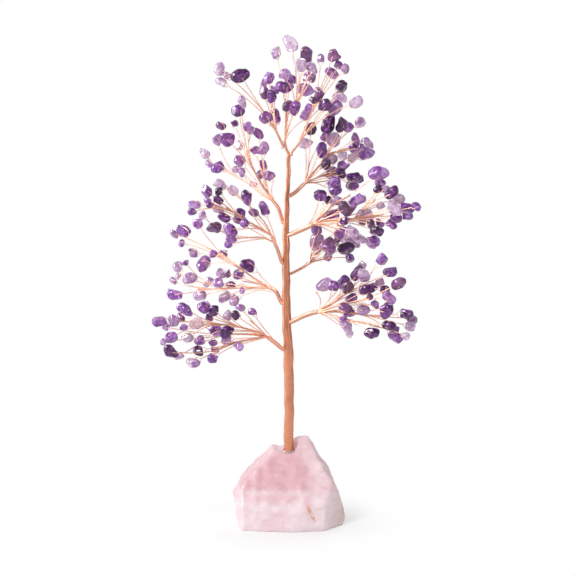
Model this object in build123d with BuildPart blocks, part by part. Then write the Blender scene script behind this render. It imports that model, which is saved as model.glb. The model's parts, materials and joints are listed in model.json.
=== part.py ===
from build123d import *

import math
import os
from dataclasses import dataclass

import numpy as np

os.makedirs("parts", exist_ok=True)

# Base stone, in millimetres: a rough lump of rose quartz that stands on a sawn flat
BASE_WIDTH = 65.4
BASE_DEPTH = 50.0
BASE_HEIGHT = 49.8
BASE_MIDDLE_SHARE = 0.4
SEAT_HEIGHT = 41.0
SEAT_RADIUS = 5.0
BORE_DEPTH = 14.0

# Glue round the foot of the trunk
GLUE_WALL = 0.5
GLUE_BEAD_RADIUS = 4.3
GLUE_BEAD_HEIGHT = 1.5
FIT_GAP = 0.05

# Trunk: a bundle of all the wires, thinner above each branch that leaves it
TRUNK_FOOT_DIAMETER = 5.5
TRUNK_BELLY_DIAMETER = 5.7
TRUNK_SWAY = 1.4
FOOT_TOP_HEIGHT = 47.0
BELLY_HEIGHT = 80.0
FORK_HEIGHT = 213.0
BRANCHING_LENGTH = 4.0
TRUNK_STEPS = 40

# Wire: copper, one doubled and twisted length to each stone
WIRE_DIAMETER = 0.32
BUNDLE_FILL_SHARE = 0.8
TWIG_GAP = 0.07

# Branch roots: a ball of wound strands in a cup in the trunk, which turns when the branch is bent
BALL_EXTRA = 0.12
CUP_GAP = 0.15
ROOT_STANDOFF = 0.55
ROOT_NECK_SHARE = 0.66
ROOT_SWELL_SHARE = 0.3
LEADER_GAP = 0.2
BEND_UP = 6.0
BEND_DOWN = 6.0

# Heights at which the branches leave the trunk
LOWER_LEFT_HEIGHT = 101.5
LOWER_RIGHT_HEIGHT = 117.5
SECOND_LEFT_HEIGHT = 128.0
SECOND_RIGHT_HEIGHT = 144.8
THIRD_LEFT_HEIGHT = 151.5
THIRD_RIGHT_HEIGHT = 167.6
UPPER_LEFT_HEIGHT = 174.4
UPPER_RIGHT_HEIGHT = 189.8

# Where the shares of each side start, right of the middle
LEFT_START = -0.3
RIGHT_START = 0.85

# How far above the fork the top sprays start
TOP_LEFT_RISE = 5.5
TOP_RIGHT_RISE = 1.3

# How far the shares of each branch reach
LOWER_LEFT_REACH = 74.0
LOWER_RIGHT_REACH = 71.2
SECOND_LEFT_REACH = 71.7
SECOND_RIGHT_REACH = 56.9
THIRD_LEFT_REACH = 69.4
THIRD_RIGHT_REACH = 68.3
UPPER_LEFT_REACH = 55.8
UPPER_RIGHT_REACH = 56.9
TOP_LEFT_REACH = 45.5
TOP_MIDDLE_REACH = 66.0
TOP_RIGHT_REACH = 51.2

# Crown: how deep a spray is, to each side of its middle, and how much its front stands higher
SPRAY_ROOT_DEPTH = 4.0
SPRAY_DEPTH_SHARE = 0.22
FRONT_LIFT_SHARE = 0.1

# Stones: tumbled amethyst chips, drilled through their thickness
CHIP_LENGTH = 6.3
CHIP_WIDTH = 5.2
CHIP_THICKNESS = 3.9
CHIP_CORNER = 1.55
CHIP_RIM_SHARE = 0.4
RIM_LIMIT_SHARE = 0.9
KNEE_SHARE = 0.12
HOLE_DIAMETER = 0.9
EYE_GAP = 0.1
EYE_BEND = 0.35
NECK_LENGTH = 1.0
NECK_GRIP = 0.2
NECK_THICKNESS_SHARE = 0.2
CHIP_TURN = 40.0
CHIP_TURN_SPREAD = 40.0
SEAM_TURN = 35.0
SEAM_TRIES = 8

# How the twigs are laid: their usual length, the room round them and how finely places are tried
TWIG_LENGTH = 20.0
TWIG_LEAST_SHARE = 1.5
LEAST_TURN = 0.001
CLEARANCE = 0.35
STATION_STEP = 2.0
LIMB_STEPS = 4
TWIG_STEPS = 8
TWIG_FOOT_STEPS = 2
DEPTH_STEPS = 15
RISE_STEPS = 6
CHOICES = 150
CROWD_COST = 4.2
DEPTH_COST = 0.5
GOLDEN_SHARE = 0.618
tone_depth_shares = {"deep": -0.45, "mid": 0.0, "pale": 0.45}
bend_shares = [0.5, 1.0]

# Sizes in which the chips come, as shares of the plain chip
chip_grade_shares = [0.7, 0.85, 1.0, 1.2, 1.4, 1.6, 1.85]

# Outlines of the chips, as shares of width and length round the drilled hole
LONG_CHIP, WIDE_CHIP, NUGGET_CHIP, WEDGE_CHIP = "long", "wide", "nugget", "wedge"
chip_outline_shares = {
    LONG_CHIP: [(-0.3, -0.47), (0.24, -0.5), (0.5, -0.1), (0.38, 0.34), (0.02, 0.5), (-0.4, 0.3)],
    WIDE_CHIP: [(-0.34, -0.42), (0.1, -0.5), (0.46, -0.26), (0.5, 0.16), (0.1, 0.5), (-0.42, 0.34)],
    NUGGET_CHIP: [(-0.28, -0.5), (0.34, -0.4), (0.5, 0.1), (0.16, 0.5), (-0.36, 0.42), (-0.5, -0.06)],
    WEDGE_CHIP: [(-0.24, -0.5), (0.3, -0.46), (0.5, 0.3), (0.08, 0.5), (-0.48, 0.26)],
}
chip_size_shares = {
    LONG_CHIP: (1.0, 1.1),
    WIDE_CHIP: (1.32, 0.86),
    NUGGET_CHIP: (1.05, 0.9),
    WEDGE_CHIP: (1.16, 0.95),
}


@dataclass
class Spray:
    """A branch with its limbs, its twigs and its stones."""

    name: str
    side: int
    start: float
    height: float
    reach: float
    lean: float
    limb_shares: list
    stone_shares: dict
    bends: bool = True
    rise: float = 0.0


L, W, N, T = LONG_CHIP, WIDE_CHIP, NUGGET_CHIP, WEDGE_CHIP

# Each limb: thickness at its start and its end as shares of the root, then out, up and back
# as shares of the reach. Each stone: out, up and size as shares, and its form.
lower_left_limb_shares = [
    (1.0, 0.95, [(0.1, 0.05, 0.0), (0.165, 0.1, 0.0)]),
    (0.6, 0.3, [(0.165, 0.1, 0.0), (0.255, 0.085, -0.02), (0.41, 0.055, -0.05), (0.57, -0.01, -0.06)]),
    (0.6, 0.3, [(0.165, 0.1, 0.0), (0.26, 0.115, 0.03), (0.4, 0.12, 0.07), (0.56, 0.11, 0.09)]),
    (0.6, 0.3, [(0.165, 0.1, 0.0), (0.24, 0.14, -0.02), (0.4, 0.185, -0.05), (0.6, 0.215, -0.04)]),
    (0.45, 0.3, [(0.165, 0.1, 0.0), (0.23, 0.17, 0.04), (0.3, 0.23, 0.07)]),
]
lower_left_stone_shares = {
    "deep": [
        (0.875, 0.005, 1.3, L), (0.64, 0.335, 1.4, W), (0.555, 0.31, 1.1, N), (0.4, 0.27, 1.0, N),
        (0.27, 0.29, 0.9, T), (0.455, 0.15, 1.3, W), (0.675, 0.0, 1.1, N), (0.57, 0.065, 0.9, T),
    ],
    "mid": [
        (0.965, 0.225, 1.4, W), (0.89, 0.1, 1.4, N), (0.77, 0.32, 1.4, L), (0.81, 0.255, 1.0, N),
        (0.78, 0.185, 0.7, N), (0.6, 0.255, 0.8, N), (0.37, 0.33, 0.9, L), (0.555, 0.155, 1.6, W),
        (0.48, 0.075, 1.2, W), (0.665, 0.08, 1.1, L), (0.565, 0.01, 0.8, N), (0.565, -0.05, 1.1, T),
        (0.38, 0.04, 1.0, N),
    ],
    "pale": [
        (0.935, 0.18, 0.8, N), (0.945, 0.07, 0.7, N), (0.825, -0.045, 0.9, L), (0.725, -0.095, 1.3, N),
        (0.86, 0.235, 1.2, W), (0.71, 0.2, 1.5, W), (0.765, 0.1, 1.2, N), (0.465, 0.265, 1.0, T),
    ],
}

second_left_limb_shares = [
    (1.0, 0.95, [(0.1, 0.1, 0.0), (0.15, 0.125, 0.0)]),
    (0.7, 0.25, [(0.15, 0.125, 0.0), (0.35, 0.125, 0.03), (0.55, 0.115, 0.05), (0.77, 0.11, 0.04)]),
    (0.65, 0.25, [(0.15, 0.125, 0.0), (0.3, 0.22, -0.02), (0.42, 0.31, -0.04), (0.56, 0.41, -0.03)]),
    (0.4, 0.3, [(0.15, 0.125, 0.0), (0.26, 0.16, -0.05), (0.38, 0.18, -0.1)]),
]
second_left_stone_shares = {
    "deep": [
        (0.48, 0.24, 0.8, N), (0.325, 0.305, 1.6, L), (0.61, 0.395, 0.9, T), (0.53, 0.4, 1.1, N),
    ],
    "mid": [
        (0.845, 0.33, 0.7, N), (0.93, 0.065, 1.7, L), (0.7, 0.315, 1.6, W), (0.57, 0.165, 1.1, N),
        (0.41, 0.235, 1.5, W), (0.48, 0.145, 1.0, T), (0.37, 0.105, 0.7, N), (0.87, 0.595, 1.6, L),
        (0.87, 0.49, 0.7, N), (0.74, 0.65, 1.2, L),
    ],
    "pale": [
        (0.925, 0.3, 1.4, L), (0.955, 0.18, 0.9, N), (0.93, 0.22, 0.7, N), (0.805, 0.2, 1.3, W),
        (0.66, 0.17, 1.2, N), (0.555, 0.245, 1.1, T), (0.73, 0.055, 1.3, W), (0.525, 0.045, 1.3, W),
        (0.435, 0.03, 1.2, N), (0.925, 0.565, 1.0, N), (0.785, 0.41, 1.2, T),
    ],
}

third_left_limb_shares = [
    (1.0, 0.9, [(0.084, 0.1, 0.0), (0.11, 0.16, 0.0), (0.135, 0.22, 0.0)]),
    (0.65, 0.3, [(0.135, 0.22, 0.0), (0.25, 0.29, -0.02), (0.36, 0.35, -0.04), (0.5, 0.44, -0.04)]),
    (0.45, 0.3, [(0.135, 0.22, 0.0), (0.18, 0.31, 0.04), (0.27, 0.43, 0.08)]),
    (0.5, 0.3, [(0.11, 0.16, 0.0), (0.2, 0.2, 0.03), (0.3, 0.205, 0.06), (0.42, 0.19, 0.07)]),
]
third_left_stone_shares = {
    "deep": [
        (0.755, 0.395, 0.9, N), (0.515, 0.357, 1.0, T), (0.46, 0.25, 1.5, W), (0.195, 0.44, 1.1, L),
        (0.55, 0.57, 0.9, N), (0.55, 0.49, 1.0, N), (0.62, 0.455, 0.7, N), (0.33, 0.51, 1.5, N),
    ],
    "mid": [
        (0.755, 0.465, 1.1, N), (0.595, 0.275, 1.4, L), (0.455, 0.19, 1.2, N), (0.48, 0.145, 0.9, T),
        (0.395, 0.375, 1.4, W), (0.345, 0.315, 1.0, N), (0.277, 0.405, 1.0, L), (0.645, 0.56, 1.2, W),
        (0.65, 0.5, 0.9, N),
    ],
    "pale": [
        (0.69, 0.38, 0.9, T), (0.565, 0.435, 1.2, N), (0.56, 0.64, 1.1, L), (0.46, 0.6, 1.2, N),
    ],
}

upper_left_limb_shares = [
    (1.0, 0.9, [(0.1, 0.15, 0.0), (0.15, 0.22, 0.0), (0.2, 0.29, 0.0)]),
    (0.75, 0.3, [(0.2, 0.29, 0.0), (0.3, 0.45, -0.02), (0.36, 0.57, -0.04), (0.43, 0.75, -0.04)]),
    (0.5, 0.3, [(0.15, 0.22, 0.0), (0.26, 0.29, 0.03), (0.4, 0.41, 0.08), (0.6, 0.53, 0.12)]),
    (0.4, 0.3, [(0.2, 0.29, 0.0), (0.23, 0.42, 0.04), (0.25, 0.54, 0.08)]),
]
upper_left_stone_shares = {
    "deep": [
        (0.63, 0.865, 1.7, W), (0.5, 0.645, 1.4, N), (0.305, 0.93, 1.2, L), (0.555, 1.04, 0.8, N),
    ],
    "mid": [
        (0.73, 0.6, 1.4, W), (0.475, 0.525, 0.8, N), (0.345, 0.76, 1.0, T), (0.265, 0.76, 1.4, L),
        (0.26, 0.615, 1.0, N), (0.195, 0.485, 1.2, N), (0.42, 0.99, 1.0, L), (0.705, 1.03, 1.0, N),
        (0.51, 1.153, 1.3, N),
    ],
    "pale": [
        (0.895, 0.77, 1.2, N), (0.84, 0.66, 1.0, L), (0.75, 0.9, 1.2, L), (0.505, 0.815, 1.2, T),
        (0.535, 0.57, 0.8, N), (0.285, 0.525, 1.0, N), (0.36, 0.41, 0.7, N), (0.375, 0.97, 1.0, N),
        (0.48, 1.265, 1.1, L),
    ],
}

lower_right_limb_shares = [
    (1.0, 0.95, [(0.1, 0.04, 0.0), (0.18, 0.07, 0.0), (0.23, 0.08, 0.0)]),
    (0.6, 0.3, [(0.23, 0.08, 0.0), (0.34, 0.15, 0.02), (0.46, 0.235, 0.05), (0.64, 0.325, 0.06)]),
    (0.55, 0.3, [(0.23, 0.08, 0.0), (0.4, 0.08, 0.03), (0.56, 0.06, 0.06), (0.72, 0.04, 0.08)]),
    (0.5, 0.3, [(0.23, 0.08, 0.0), (0.38, 0.04, -0.03), (0.55, 0.0, -0.06), (0.7, -0.03, -0.08)]),
    (0.5, 0.3, [(0.23, 0.08, 0.0), (0.36, 0.125, -0.04), (0.5, 0.16, -0.07), (0.64, 0.19, -0.09)]),
]
lower_right_stone_shares = {
    "deep": [
        (0.34, 0.29, 1.1, N), (0.445, 0.272, 1.4, N), (0.535, 0.4, 1.4, L), (0.49, 0.19, 1.2, W),
        (0.44, 0.115, 1.2, W), (0.64, -0.08, 1.4, N), (0.6, 0.26, 1.3, W), (0.62, 0.205, 0.7, N),
        (0.745, 0.26, 1.2, W), (0.84, 0.31, 1.4, W), (0.745, 0.1, 1.6, L), (0.9, 0.07, 1.3, W),
        (0.77, -0.02, 1.1, T),
    ],
    "mid": [
        (0.43, 0.32, 1.3, W), (0.47, 0.075, 1.2, T), (0.42, 0.02, 0.9, T), (0.66, 0.275, 1.2, W),
        (0.76, 0.2, 1.2, W), (0.785, 0.4, 1.5, N), (0.725, 0.5, 1.3, L), (0.67, 0.14, 0.9, N),
        (0.84, -0.12, 1.6, N), (0.83, -0.06, 1.0, T),
    ],
    "pale": [
        (0.27, 0.3, 1.6, L), (0.57, 0.44, 1.2, L), (0.575, 0.37, 1.4, W), (0.45, -0.04, 1.3, L),
        (0.475, -0.09, 0.8, T), (0.585, 0.115, 1.4, L), (0.72, 0.32, 1.0, N), (0.79, 0.135, 1.0, N),
        (0.97, 0.03, 1.2, L), (0.955, -0.035, 1.2, N), (0.9, -0.1, 0.9, N),
    ],
}

second_right_limb_shares = [
    (1.0, 0.95, [(0.08, 0.04, 0.0), (0.15, 0.08, 0.0), (0.19, 0.12, 0.0)]),
    (0.6, 0.4, [(0.19, 0.12, 0.0), (0.21, 0.2, 0.03), (0.22, 0.29, 0.05)]),
    (0.6, 0.4, [(0.19, 0.12, 0.0), (0.27, 0.21, 0.0), (0.36, 0.3, 0.02), (0.43, 0.35, 0.04)]),
    (0.6, 0.4, [(0.19, 0.12, 0.0), (0.29, 0.14, -0.04), (0.4, 0.17, -0.08)]),
]
second_right_stone_shares = {
    "deep": [
        (0.39, 0.29, 1.8, L), (0.57, 0.27, 1.7, W), (0.49, 0.37, 0.9, L), (0.53, 0.53, 1.0, N),
    ],
    "mid": [
        (0.27, 0.47, 1.3, W), (0.39, 0.175, 1.0, N), (0.62, 0.17, 1.1, N), (0.85, 0.33, 1.3, T),
        (0.5, 0.44, 0.9, N),
    ],
    "pale": [
        (0.27, 0.34, 1.8, L), (0.67, 0.33, 1.5, L), (0.6, 0.405, 1.6, W), (0.47, 0.31, 0.8, N),
    ],
}

third_right_limb_shares = [
    (1.0, 0.95, [(0.08, 0.03, 0.0), (0.15, 0.06, 0.0), (0.2, 0.09, 0.0)]),
    (0.6, 0.3, [(0.2, 0.09, 0.0), (0.28, 0.17, 0.03), (0.38, 0.255, 0.06), (0.5, 0.32, 0.08)]),
    (0.7, 0.25, [(0.2, 0.09, 0.0), (0.36, 0.115, -0.01), (0.52, 0.12, -0.02), (0.76, 0.15, -0.02)]),
    (0.4, 0.3, [(0.2, 0.09, 0.0), (0.3, 0.07, 0.05), (0.4, 0.04, 0.08)]),
    (0.4, 0.3, [(0.52, 0.12, -0.02), (0.6, 0.2, 0.02), (0.7, 0.28, 0.05)]),
]
third_right_stone_shares = {
    "deep": [
        (0.245, 0.31, 1.3, N), (0.31, 0.28, 0.9, L), (0.44, 0.21, 1.3, W), (0.445, 0.1, 1.0, L),
        (0.71, 0.355, 0.8, N), (0.815, 0.325, 1.3, L), (0.855, 0.12, 1.1, L), (0.81, 0.07, 1.0, T),
        (0.7, 0.02, 1.5, W), (0.735, 0.085, 0.9, W), (0.65, 0.07, 0.8, T), (0.6, 0.1, 0.9, N),
    ],
    "mid": [
        (0.37, 0.42, 1.6, L), (0.37, 0.345, 1.2, N), (0.35, 0.16, 1.6, L), (0.5, 0.205, 1.2, L),
        (0.555, 0.28, 1.6, L), (0.73, 0.49, 1.8, N), (0.745, 0.42, 1.0, T), (0.945, 0.2, 1.5, W),
        (1.01, 0.205, 0.8, W), (0.95, 0.145, 1.2, N), (0.71, -0.06, 1.2, W), (0.43, 0.03, 0.8, N),
        (0.41, -0.015, 0.8, L),
    ],
    "pale": [
        (0.385, 0.28, 1.1, N), (0.765, 0.365, 0.9, L), (0.885, 0.28, 1.5, W), (0.82, 0.2, 1.4, W),
        (0.75, 0.235, 0.9, W), (0.65, 0.165, 1.3, W), (0.57, -0.04, 1.5, N), (0.5, 0.01, 1.5, W),
        (0.57, 0.165, 0.7, N),
    ],
}

upper_right_limb_shares = [
    (1.0, 0.95, [(0.06, 0.04, 0.0), (0.1, 0.08, 0.0), (0.15, 0.13, 0.0)]),
    (0.75, 0.3, [(0.15, 0.13, 0.0), (0.21, 0.21, 0.0), (0.3, 0.32, 0.0), (0.39, 0.48, 0.02)]),
    (0.45, 0.3, [(0.3, 0.32, 0.0), (0.38, 0.42, -0.04), (0.5, 0.465, -0.06), (0.6, 0.5, -0.08)]),
    (0.5, 0.3, [(0.15, 0.13, 0.0), (0.25, 0.18, 0.04), (0.37, 0.23, 0.08), (0.5, 0.27, 0.1)]),
    (0.4, 0.3, [(0.15, 0.13, 0.0), (0.28, 0.14, -0.05), (0.4, 0.16, -0.1)]),
    (0.4, 0.3, [(0.15, 0.13, 0.0), (0.18, 0.25, 0.05), (0.19, 0.38, 0.08)]),
]
upper_right_stone_shares = {
    "deep": [
        (0.215, 0.685, 1.5, N), (0.39, 0.73, 1.8, W), (0.66, 0.575, 1.0, W), (0.68, 0.515, 1.3, W),
        (0.36, 0.325, 1.2, N), (0.53, 0.225, 1.2, W), (0.65, 0.2, 1.3, L), (0.72, 0.19, 0.8, T),
        (0.65, 0.13, 1.4, W), (0.515, 0.72, 1.2, L),
    ],
    "mid": [
        (0.31, 0.455, 1.3, L), (0.79, 0.46, 1.6, L), (0.555, 0.33, 1.1, W), (0.425, 0.25, 1.5, W),
        (0.44, 0.13, 1.5, L), (0.58, 0.7, 1.2, L), (0.36, 0.62, 1.2, N), (0.74, 0.5, 0.8, N),
    ],
    "pale": [
        (0.155, 0.545, 1.5, N), (0.45, 0.6, 1.8, N), (0.8, 0.575, 1.4, W), (0.665, 0.44, 1.3, L),
        (0.54, 0.44, 1.1, N), (0.43, 0.385, 1.2, N), (0.725, 0.78, 1.3, N),
    ],
}

top_left_limb_shares = [
    (1.0, 0.9, [(0.105, 0.2, 0.0), (0.14, 0.27, 0.0)]),
    (0.8, 0.4, [(0.14, 0.27, 0.0), (0.2, 0.36, -0.02), (0.29, 0.5, -0.04), (0.36, 0.6, -0.05)]),
    (0.6, 0.4, [(0.14, 0.27, 0.0), (0.165, 0.39, 0.05), (0.18, 0.5, 0.08)]),
]
top_left_stone_shares = {
    "deep": [
        (0.57, 0.91, 1.7, W), (0.29, 0.74, 1.1, T), (0.27, 0.43, 1.4, N), (0.155, 0.49, 1.2, T),
    ],
    "mid": [(0.24, 0.955, 1.2, W), (0.16, 0.79, 1.0, N), (0.2, 0.68, 1.2, L)],
    "pale": [(0.84, 1.02, 1.2, W), (0.75, 0.97, 0.8, N), (0.82, 0.88, 1.0, L), (0.31, 0.91, 0.9, N)],
}

top_middle_limb_shares = [
    (1.0, 0.9, [(-0.015, 0.05, 0.0), (-0.03, 0.12, 0.0)]),
    (0.8, 0.4, [(-0.03, 0.12, 0.0), (-0.025, 0.22, 0.02), (-0.015, 0.33, 0.03), (-0.02, 0.46, 0.03)]),
    (0.6, 0.4, [(-0.03, 0.12, 0.0), (0.0, 0.22, -0.03), (0.04, 0.33, -0.05), (0.08, 0.45, -0.05)]),
]
top_middle_stone_shares = {
    "deep": [(0.205, 0.62, 0.9, N), (0.055, 0.37, 1.5, N), (-0.02, 0.58, 1.6, W)],
    "mid": [
        (0.155, 0.85, 1.8, W), (0.165, 0.675, 1.0, L), (0.15, 0.575, 1.6, W), (0.02, 0.66, 1.3, N),
        (0.005, 0.425, 1.2, N), (0.165, 0.365, 1.5, L),
    ],
    "pale": [
        (-0.105, 0.905, 1.5, N), (0.015, 0.93, 1.7, L), (0.11, 0.75, 1.5, L), (0.2, 0.73, 1.1, W),
        (-0.03, 0.66, 1.2, W),
    ],
}

top_right_limb_shares = [
    (1.0, 0.9, [(0.085, 0.08, 0.0), (0.12, 0.13, 0.0)]),
    (0.75, 0.4, [(0.12, 0.13, 0.0), (0.17, 0.25, 0.02), (0.23, 0.4, 0.04), (0.3, 0.56, 0.05)]),
    (0.6, 0.4, [(0.12, 0.13, 0.0), (0.2, 0.22, -0.04), (0.3, 0.33, -0.07)]),
]
top_right_stone_shares = {
    "deep": [
        (0.49, 1.05, 1.4, L), (0.33, 0.615, 1.2, L), (0.4, 0.505, 1.3, N), (0.58, 0.715, 1.4, W),
        (0.28, 0.56, 0.8, N),
    ],
    "mid": [(0.56, 0.965, 1.0, W), (0.525, 0.505, 1.6, W), (0.47, 0.91, 1.2, W)],
    "pale": [
        (0.36, 1.035, 0.9, W), (0.62, 0.905, 1.0, N), (0.57, 0.63, 1.3, N), (0.745, 0.545, 1.3, L),
        (0.34, 0.7, 0.9, N),
    ],
}

sprays = [
    Spray("lower_left_branch", -1, LEFT_START, LOWER_LEFT_HEIGHT, LOWER_LEFT_REACH, 24.0,
          lower_left_limb_shares, lower_left_stone_shares),
    Spray("second_left_branch", -1, LEFT_START, SECOND_LEFT_HEIGHT, SECOND_LEFT_REACH, -24.0,
          second_left_limb_shares, second_left_stone_shares),
    Spray("third_left_branch", -1, LEFT_START, THIRD_LEFT_HEIGHT, THIRD_LEFT_REACH, 27.0,
          third_left_limb_shares, third_left_stone_shares),
    Spray("upper_left_branch", -1, LEFT_START, UPPER_LEFT_HEIGHT, UPPER_LEFT_REACH, -26.0,
          upper_left_limb_shares, upper_left_stone_shares),
    Spray("lower_right_branch", 1, RIGHT_START, LOWER_RIGHT_HEIGHT, LOWER_RIGHT_REACH, 22.0,
          lower_right_limb_shares, lower_right_stone_shares),
    Spray("second_right_branch", 1, RIGHT_START, SECOND_RIGHT_HEIGHT, SECOND_RIGHT_REACH, -30.0,
          second_right_limb_shares, second_right_stone_shares),
    Spray("third_right_branch", 1, RIGHT_START, THIRD_RIGHT_HEIGHT, THIRD_RIGHT_REACH, 24.0,
          third_right_limb_shares, third_right_stone_shares),
    Spray("upper_right_branch", 1, RIGHT_START, UPPER_RIGHT_HEIGHT, UPPER_RIGHT_REACH, -26.0,
          upper_right_limb_shares, upper_right_stone_shares),
    Spray("top_left_spray", -1, LEFT_START, FORK_HEIGHT, TOP_LEFT_REACH, 22.0,
          top_left_limb_shares, top_left_stone_shares, bends=False, rise=TOP_LEFT_RISE),
    Spray("top_middle_spray", 1, LEFT_START, FORK_HEIGHT, TOP_MIDDLE_REACH, 0.0,
          top_middle_limb_shares, top_middle_stone_shares, bends=False),
    Spray("top_right_spray", 1, LEFT_START, FORK_HEIGHT, TOP_RIGHT_REACH, 22.0,
          top_right_limb_shares, top_right_stone_shares, bends=False, rise=TOP_RIGHT_RISE),
]

# Front outline of the base, from the left, as shares of its width and its height
base_front_shares = [
    (-0.44, 0.0), (-0.5, 0.36), (-0.145, 0.865), (-0.075, 0.825), (0.05, 0.955), (0.17, 1.0),
    (0.27, 0.755), (0.362, 0.57), (0.428, 0.36), (0.494, 0.16), (0.5, 0.096), (0.482, 0.0),
]
# Side outline of the base, from the front, as shares of its depth and its height
base_side_shares = [
    (-0.48, 0.0), (-0.5, 0.06), (-0.46, 0.28), (-0.37, 0.46), (-0.04, 0.9), (0.06, 1.0),
    (0.16, 0.97), (0.34, 0.7), (0.47, 0.38), (0.5, 0.14), (0.47, 0.0),
]
# Plan of the base, anticlockwise from the front left, as shares of its width and its depth
base_plan_shares = [
    (-0.4, -0.43), (0.02, -0.5), (0.31, -0.44), (0.5, -0.14), (0.47, 0.2), (0.24, 0.47),
    (-0.2, 0.5), (-0.43, 0.33), (-0.5, -0.05),
]
# Facets broken off the shoulders: the way each one faces, and how far out it lies from the
# middle of the lump, as a share of the base's height
base_facet_shares = [
    ((-0.62, -0.5, 0.6), 0.545),
    ((0.6, -0.55, 0.58), 0.575),
    ((0.55, 0.6, 0.58), 0.55),
    ((-0.5, 0.62, 0.6), 0.56),
    ((0.1, -0.8, 0.6), 0.58),
]
# How the trunk sways, as shares of the way up to the fork and of its sway
trunk_sway_shares = [
    (0.0, 0.0), (0.16, 0.35), (0.31, 0.0), (0.46, -0.93), (0.62, -1.0), (0.76, -1.0), (0.88, -0.36),
    (1.0, 0.2),
]


def outline(shares, width, height):
    """The points of an outline, from shares of a width and a height."""
    return [(across * width, up * height) for across, up in shares]


def stones_of(spray):
    """How many stones a spray carries."""
    return sum(len(tone) for tone in spray.stone_shares.values())


def unit(vector):
    """The direction of a vector."""
    return vector / np.linalg.norm(vector)


def bundle_diameter(spray):
    """The thickness of a spray's bundle: two wires to each stone."""
    return WIRE_DIAMETER * math.sqrt(2 * stones_of(spray) / BUNDLE_FILL_SHARE)


def ball_radius(spray):
    """The ball at a branch's root."""
    return bundle_diameter(spray) / 2 + BALL_EXTRA


def trunk_diameter(height):
    """The trunk's thickness, which drops where each branch takes its wires out."""
    left = total = sum(stones_of(spray) for spray in sprays)
    heights, diameters = [FOOT_TOP_HEIGHT, BELLY_HEIGHT], [TRUNK_FOOT_DIAMETER, TRUNK_BELLY_DIAMETER]
    for spray in sorted((s for s in sprays if s.bends), key=lambda s: s.height):
        heights.append(spray.height - BRANCHING_LENGTH)
        diameters.append(TRUNK_BELLY_DIAMETER * math.sqrt(left / total))
        left -= stones_of(spray)
        heights.append(spray.height + BRANCHING_LENGTH)
        diameters.append(TRUNK_BELLY_DIAMETER * math.sqrt(left / total))
    return float(np.interp(height, heights, diameters))


def trunk_centre(height):
    """The middle of the trunk at a height."""
    rise = (height - FOOT_TOP_HEIGHT) / (FORK_HEIGHT - FOOT_TOP_HEIGHT)
    sway = np.interp(rise, *zip(*trunk_sway_shares))
    return np.array([sway * TRUNK_SWAY, 0.0, height])


def place(spray, out, up, back=0.0):
    """The point at these shares of a spray's reach, with the spray swung by its lean."""
    away = out * spray.reach
    y = back * spray.reach - away * math.tan(math.radians(spray.lean))
    x = spray.start + spray.side * away
    return np.array([x, y, spray.height + up * spray.reach - y * FRONT_LIFT_SHARE])


def heading(spray):
    """The way a spray leaves the trunk, seen from above."""
    lean = math.radians(spray.lean)
    return np.array([spray.side * math.cos(lean), -math.sin(lean), 0.0])


def bend_axis(spray):
    """The level axis that a branch bends about: a positive turn lifts it."""
    return np.cross(heading(spray), [0.0, 0.0, 1.0])


def root_point(spray):
    """Where a spray's bundle starts: in its cup, on the fork, or beside the leader."""
    if spray.bends:
        middle = trunk_centre(spray.height)
        return middle + (trunk_diameter(spray.height) / 2 + ROOT_STANDOFF) * heading(spray)
    if spray.rise == 0:
        return trunk_centre(FORK_HEIGHT)
    leader = next(s for s in sprays if not s.bends and s.rise == 0)
    low, high = trunk_centre(FORK_HEIGHT), place(leader, *leader.limb_shares[0][2][-1])
    beside = low + (high - low) * spray.rise / (high[2] - low[2])
    return beside + ((bundle_diameter(leader) + bundle_diameter(spray)) / 2 + LEADER_GAP) * heading(spray)


def limbs_of(spray):
    """A spray's limbs, each a list of points with the thickness there."""
    limbs = []
    for first, last, shares in spray.limb_shares:
        points = [place(spray, *share) for share in shares]
        if not limbs:
            root = root_point(spray)
            points.insert(0, root)
            if spray.bends:
                points.insert(1, root + ROOT_SWELL_SHARE * (points[1] - root))
        lengths = [0.0] + [float(np.linalg.norm(b - a)) for a, b in zip(points, points[1:])]
        along = np.cumsum(lengths) / sum(lengths)
        sizes = [bundle_diameter(spray) * (first + (last - first) * share) for share in along]
        if not limbs and spray.bends:
            sizes[0] *= ROOT_NECK_SHARE
        limbs.append(list(zip(points, sizes)))
    return limbs


# Gaps between pieces are measured on capsules: rows of a start, an end and a radius


def gaps(these, those):
    """The least gap between two sets of capsules."""
    start, run = these[:, None, 0:3], these[:, None, 3:6] - these[:, None, 0:3]
    other, leg = those[None, :, 0:3], those[None, :, 3:6] - those[None, :, 0:3]
    tiny = 1e-9
    between = start - other
    run_run = np.sum(run * run, axis=2) + tiny
    leg_leg = np.sum(leg * leg, axis=2) + tiny
    run_leg = np.sum(run * leg, axis=2)
    run_between = np.sum(run * between, axis=2)
    leg_between = np.sum(leg * between, axis=2)
    spread = np.maximum(run_run * leg_leg - run_leg * run_leg, tiny)
    along = np.clip((run_leg * leg_between - run_between * leg_leg) / spread, 0, 1)
    across = np.clip((run_leg * along + leg_between) / leg_leg, 0, 1)
    along = np.clip((run_leg * across - run_between) / run_run, 0, 1)
    apart = between + along[..., None] * run - across[..., None] * leg
    return float(np.min(np.linalg.norm(apart, axis=2) - these[:, None, 6] - those[None, :, 6]))


def chain(points, radii):
    """A chain of capsules through points."""
    points = np.asarray(points)
    return np.column_stack([points[:-1], points[1:], np.broadcast_to(radii, len(points) - 1)])


def turned(rows, pivot, axis, degrees):
    """Capsules turned about an axis through a pivot."""
    angle = math.radians(degrees)
    result = rows.copy()
    for first in (0, 3):
        arm = rows[:, first:first + 3] - pivot
        level = np.outer(arm @ axis, axis)
        swing = (arm - level) * math.cos(angle) + np.cross(axis, arm) * math.sin(angle)
        result[:, first:first + 3] = pivot + level + swing
    return result


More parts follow.
